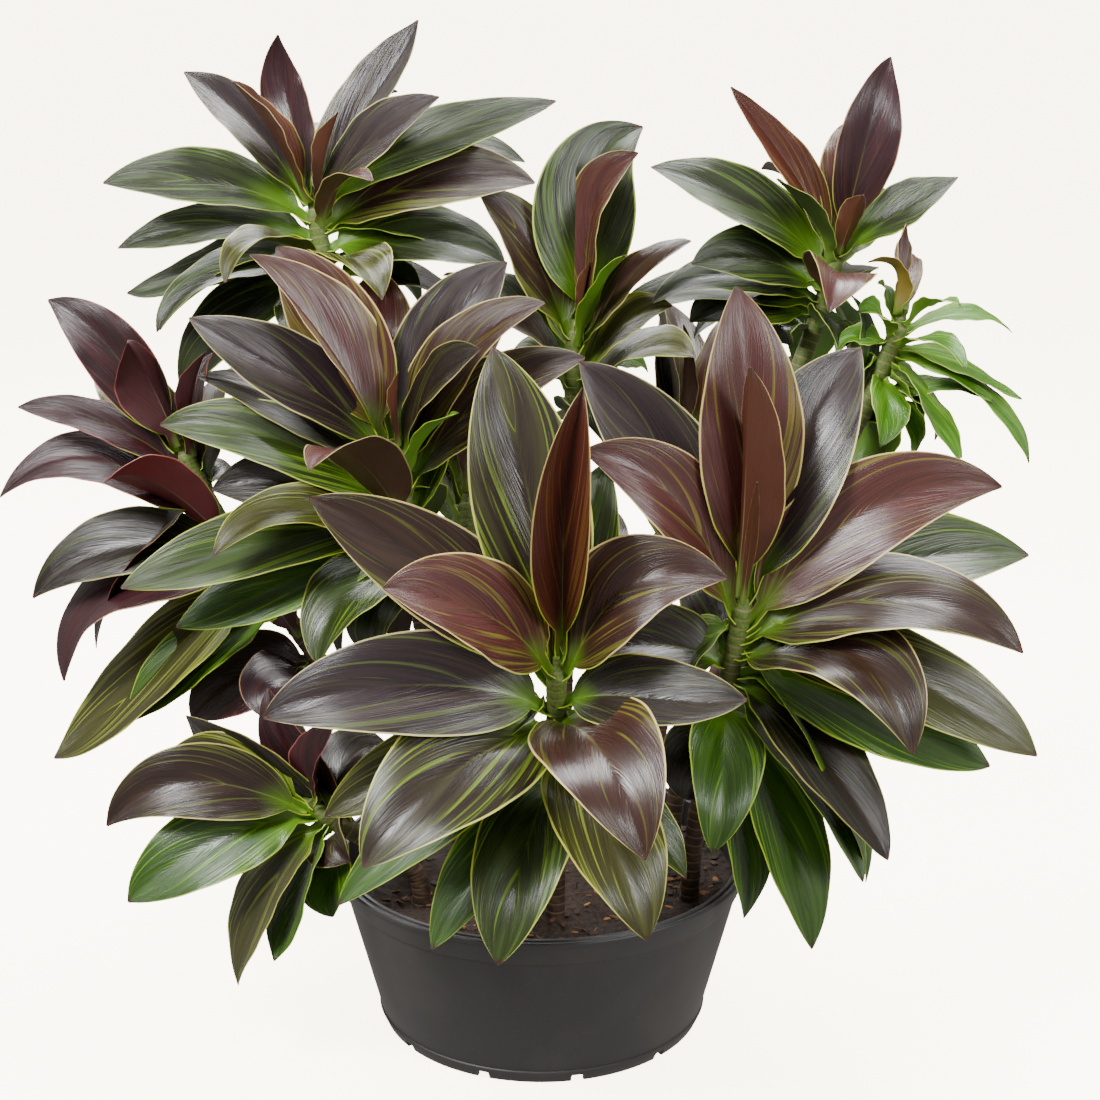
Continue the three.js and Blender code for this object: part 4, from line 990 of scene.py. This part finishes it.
def blade_places(flat, leaf):
    """Bends the flat blade, with x from margin to margin, y along it and z into it, to its leaf."""
    side, t, depth = flat[:, 0], flat[:, 1], -flat[:, 2]
    base, tip, axis, age = leaf["base"], leaf["tip"], leaf["axis"], leaf["age"]
    width, index = leaf["width"], leaf["index"]
    chord = tip - base
    ahead = unit(chord)
    lift = unit(axis - ahead * (axis @ ahead))
    rise = (YOUNG_RISE + (OLD_RISE - YOUNG_RISE) * age) * np.linalg.norm(chord)
    early = base + RISE_PLACE * chord + rise * axis
    late = base + ARCH_PLACE * chord + ARCH_PULL * leaf["arch"] * lift
    curve = (base, early, late, tip)
    sideways = np.cross(ahead, lift)
    if sideways[1] > 0:
        sideways = -sideways
    roll = math.radians(leaf["roll"])
    face = lift * math.cos(roll) + sideways * math.sin(roll)
    middle = bezier(curve, t)
    along = bezier_heading(curve, t)
    twist = math.radians(TWIST) * math.sin(TWIST_STEP * index) * t
    turned_face = turned_about(np.repeat(face[None], len(t), 0), ahead, twist)
    across = unit(np.cross(along, turned_face))
    up = np.cross(across, along)
    half = half_width(t, width)
    fold = np.maximum(leaf["fold"], PETIOLE_FOLD * (1 - t / FOLD_SHARE))
    fold = np.radians(np.maximum(fold, CLASP_FOLD * (1 - t / CLASP_FOLD_SHARE)))
    reach = np.abs(side)
    soft = MIDRIB_ROUNDING
    root = np.sqrt(reach ** 2 + soft ** 2)
    valley = (root - soft) / (math.sqrt(1 + soft ** 2) - soft)
    share = half / (width / 2)
    wave = WAVE * np.sin(WAVE_RATE * t + np.sign(side) * WAVE_OFFSET + index) * share * reach ** 2
    ripple = RIPPLE * np.sin(RIPPLE_RATE * t + 2 * np.sign(side) + 3 * index) * share * reach ** 5
    bulge = BULGE * half * np.sin(math.pi * reach) * np.clip(t * BULGE_RUN, 0, 1)
    out = half * np.cos(fold) * side
    high = half * np.sin(fold) * valley + wave + ripple + bulge
    slope = np.sin(fold) * reach / root / (math.sqrt(1 + soft ** 2) - soft) * np.sign(side)
    normal = unit(up * np.cos(fold)[:, None] - across * slope[:, None])
    stalk_share = np.clip(1 - t / FOLD_SHARE, 0, 1)
    thick = BLADE_THICKNESS + (STALK_THICKNESS - BLADE_THICKNESS) * stalk_share
    thick = thick * (1 - MARGIN_THINNING * reach ** 4)
    return middle + across * out[:, None] + up * high[:, None] - normal * (thick * depth)[:, None]


bpy.ops.mesh.primitive_grid_add(x_subdivisions=BLADE_CELLS_ACROSS, y_subdivisions=BLADE_CELLS_ALONG, size=2)
blade_shape = bpy.context.object
blade_shape.data.uv_layers[0].name = "blade"
skin = blade_shape.modifiers.new("both faces", "SOLIDIFY")
skin.thickness = 1
skin.offset = -1
apply_all(blade_shape)
flat_blade = np.empty(len(blade_shape.data.vertices) * 3)
blade_shape.data.vertices.foreach_get("co", flat_blade)
flat_blade = flat_blade.reshape(-1, 3)
flat_blade[:, 1] = (flat_blade[:, 1] + 1) / 2


# A leaf's pattern: how its veins run from the midrib, how many streaks, broad patches and fine veins
# there are along a blade, and where its margin and its dry tip begin and are full.
VEIN_SLANT = 0.8
VEIN_BEND = 1.2
STREAK_PITCH = 17.0
PATCH_PITCH = 4.0
FINE_PITCH = 58.0
MARGIN_EDGE = (0.955, 0.975)
DRY_TIP = (0.965, 0.985)


def ground_dark(finish, ground):
    """The deeper tone between the fine veins of a leaf."""
    return finish.mix(0.62, ground, paint("0c0a09"))


def leaf_skin():
    finish = Finish("striped_leaf")
    uv = finish.node("ShaderNodeUVMap", {"uv_map": "blade"}, {})
    across = finish.node("ShaderNodeSeparateXYZ", {}, {0: uv}, output=0)
    along = finish.node("ShaderNodeSeparateXYZ", {}, {0: uv}, output=1)
    ground = finish.node("ShaderNodeAttribute", {"attribute_name": "ground"}, {})
    streak = finish.node("ShaderNodeAttribute", {"attribute_name": "streak"}, {})
    streak_share = finish.node("ShaderNodeAttribute", {"attribute_name": "streak"}, {}, output=3)
    margin = finish.node("ShaderNodeAttribute", {"attribute_name": "margin"}, {})
    green_reach = finish.node("ShaderNodeAttribute", {"attribute_name": "margin"}, {}, output=3)
    back = finish.node("ShaderNodeAttribute", {"attribute_name": "back"}, {})
    under = finish.node("ShaderNodeAttribute", {"attribute_name": "back"}, {}, output=3)
    seed = finish.node("ShaderNodeAttribute", {"attribute_name": "seed"}, {}, output=2)

    side = abs(across * 2.0 - 1.0)
    vein = side ** VEIN_BEND * VEIN_SLANT - along

    def along_veins(pitch, run, shift):
        place = {0: vein * pitch + seed * 37.0, 1: across * run, 2: seed * shift}
        return finish.node("ShaderNodeCombineXYZ", {}, place)

    bands = finish.cloud(along_veins(STREAK_PITCH, 2.4, 11.0), 1.0, 2.0, 0.5)
    patches = finish.cloud(along_veins(PATCH_PITCH, 2.0, 7.0), 1.0, 2.0, 0.5)
    threads = finish.cloud(along_veins(FINE_PITCH, 4.0, 5.0), 1.0, 2.0, 0.6)

    fine = finish.step(threads, 0.42, 0.58)
    blade = finish.mix(fine * 0.8, ground, ground_dark(finish, ground))
    blade = finish.mix(finish.step(patches, 0.46, 0.66) * 0.3, blade, back)
    lines = finish.step(bands + side * 0.12 - along * 0.12, 0.555, 0.63) * streak_share
    blade = finish.mix(lines * (0.9 - fine * 0.5), blade, streak)
    stalk_green = finish.step(along + side * 0.12, green_reach * 0.55 + 0.14, green_reach * 0.12 + 0.02)
    blade = finish.mix(stalk_green * 0.8, blade, paint("5e8c12"))
    rib = finish.step(side, 0.03, 0.01) * finish.step(along, 0.7, 0.1)
    blade = finish.mix(rib * 0.5, blade, paint("76883a"))
    beneath = finish.mix(fine * 0.4, back, ground)
    beneath = finish.mix(rib * 0.6, beneath, paint("86865a"))
    beneath = finish.mix(stalk_green * 0.7, beneath, paint("66862c"))
    blade = finish.mix(under, blade, beneath)
    edge = finish.step(side, *MARGIN_EDGE)
    edge_colour = finish.mix(finish.step(along, 0.5, 0.15), margin, paint("a0b82a"))
    blade = finish.mix(edge * 0.9, blade, edge_colour)
    blade = finish.mix(finish.step(along, *DRY_TIP) * 0.8, blade, paint("3a2016"))
    relief = finish.node("ShaderNodeBump", {}, {
        "Strength": 0.7, "Distance": 0.0006, "Height": threads * 0.7 + bands * 0.3})
    rough = 0.17 + patches * 0.18 + fine * 0.05 + under * 0.2
    return finish.surface(Base_Color=blade, Roughness=rough, Normal=relief)


leaf_finish = leaf_skin()
under_side = np.clip(-flat_blade[:, 2], 0, 1)
for number, (name, shoot) in enumerate(SHOOTS.items()):
    head = []
    for leaf in leaves_of(shoot) + inner_leaves_of(shoot, INNER.get(name, [])):
        blade = blade_shape.copy()
        blade.data = blade_shape.data.copy()
        bpy.context.collection.objects.link(blade)
        blade.data.vertices.foreach_set("co", blade_places(flat_blade, leaf).ravel())
        ground, streak, share, margin, back, green = LOOKS[leaf["look"]]
        count = len(flat_blade)
        for label, code, extra in (("ground", ground, 1.0), ("streak", streak, share),
                                   ("margin", margin, green), ("back", back, under_side)):
            colours = np.tile((*paint(code)[:3], 1.0), (count, 1))
            colours[:, 3] = extra
            layer = blade.data.attributes.new(label, "FLOAT_COLOR", "POINT")
            layer.data.foreach_set("color", colours.ravel())
        seed = (number * 0.37 + leaf["index"] * 0.61) % 1
        layer = blade.data.attributes.new("seed", "FLOAT", "POINT")
        layer.data.foreach_set("value", np.full(count, seed))
        blade.data.update()
        head.append(blade)
    bpy.ops.object.select_all(action="DESELECT")
    for blade in head:
        blade.select_set(True)
    bpy.context.view_layer.objects.active = head[0]
    bpy.ops.object.join()
    foliage = bpy.context.object
    foliage.name = name + "_leaves"
    settle(foliage, name, leaf_finish)
bpy.data.objects.remove(blade_shape)


# Setting: a wide, plain cream sheet under the plant. It glows, to look as pale as the real one, and
# its glow is kept off the plant. A pale sky and four soft lamps light the plant itself.
FLOOR_SIZE = 400
FLOOR_DROP = 0.0005
FLOOR_GLOW = 7.5
DAYLIGHT = 0.6
LAMP_AIM = Vector((0, 0, 0.35))


def plain_cream():
    finish = Finish("plain_cream_sheet")
    return finish.surface(Base_Color=paint("fbf8f0"), Roughness=0.9, Specular_IOR_Level=0.1,
                          Emission_Color=paint("fff1d8"), Emission_Strength=FLOOR_GLOW)


bpy.ops.mesh.primitive_plane_add(size=FLOOR_SIZE, location=(0, 0, -FLOOR_DROP))
floor = bpy.context.object
floor.name = "floor"
floor.data.materials.append(plain_cream())
floor.visible_diffuse = False
floor.visible_glossy = False

world = bpy.data.worlds.new("daylight")
bpy.context.scene.world = world
world.use_nodes = True
background = world.node_tree.nodes["Background"]
background.inputs["Color"].default_value = paint("fff9f0")
background.inputs["Strength"].default_value = DAYLIGHT

for label, place, size, power in (
        ("window_light", (-1.2, -1.0, 2.0), 0.8, 95),
        ("fill_light", (1.6, -1.5, 1.3), 0.8, 42),
        ("back_light", (-0.6, 1.7, 1.5), 1.0, 40),
        ("top_light", (0.4, 0.6, 2.1), 0.9, 80)):
    bpy.ops.object.light_add(type="AREA", location=place)
    light = bpy.context.object
    light.name = label
    light.data.size = size
    light.data.energy = power
    aim = LAMP_AIM - Vector(place)
    light.rotation_euler = aim.to_track_quat("-Z", "Y").to_euler()
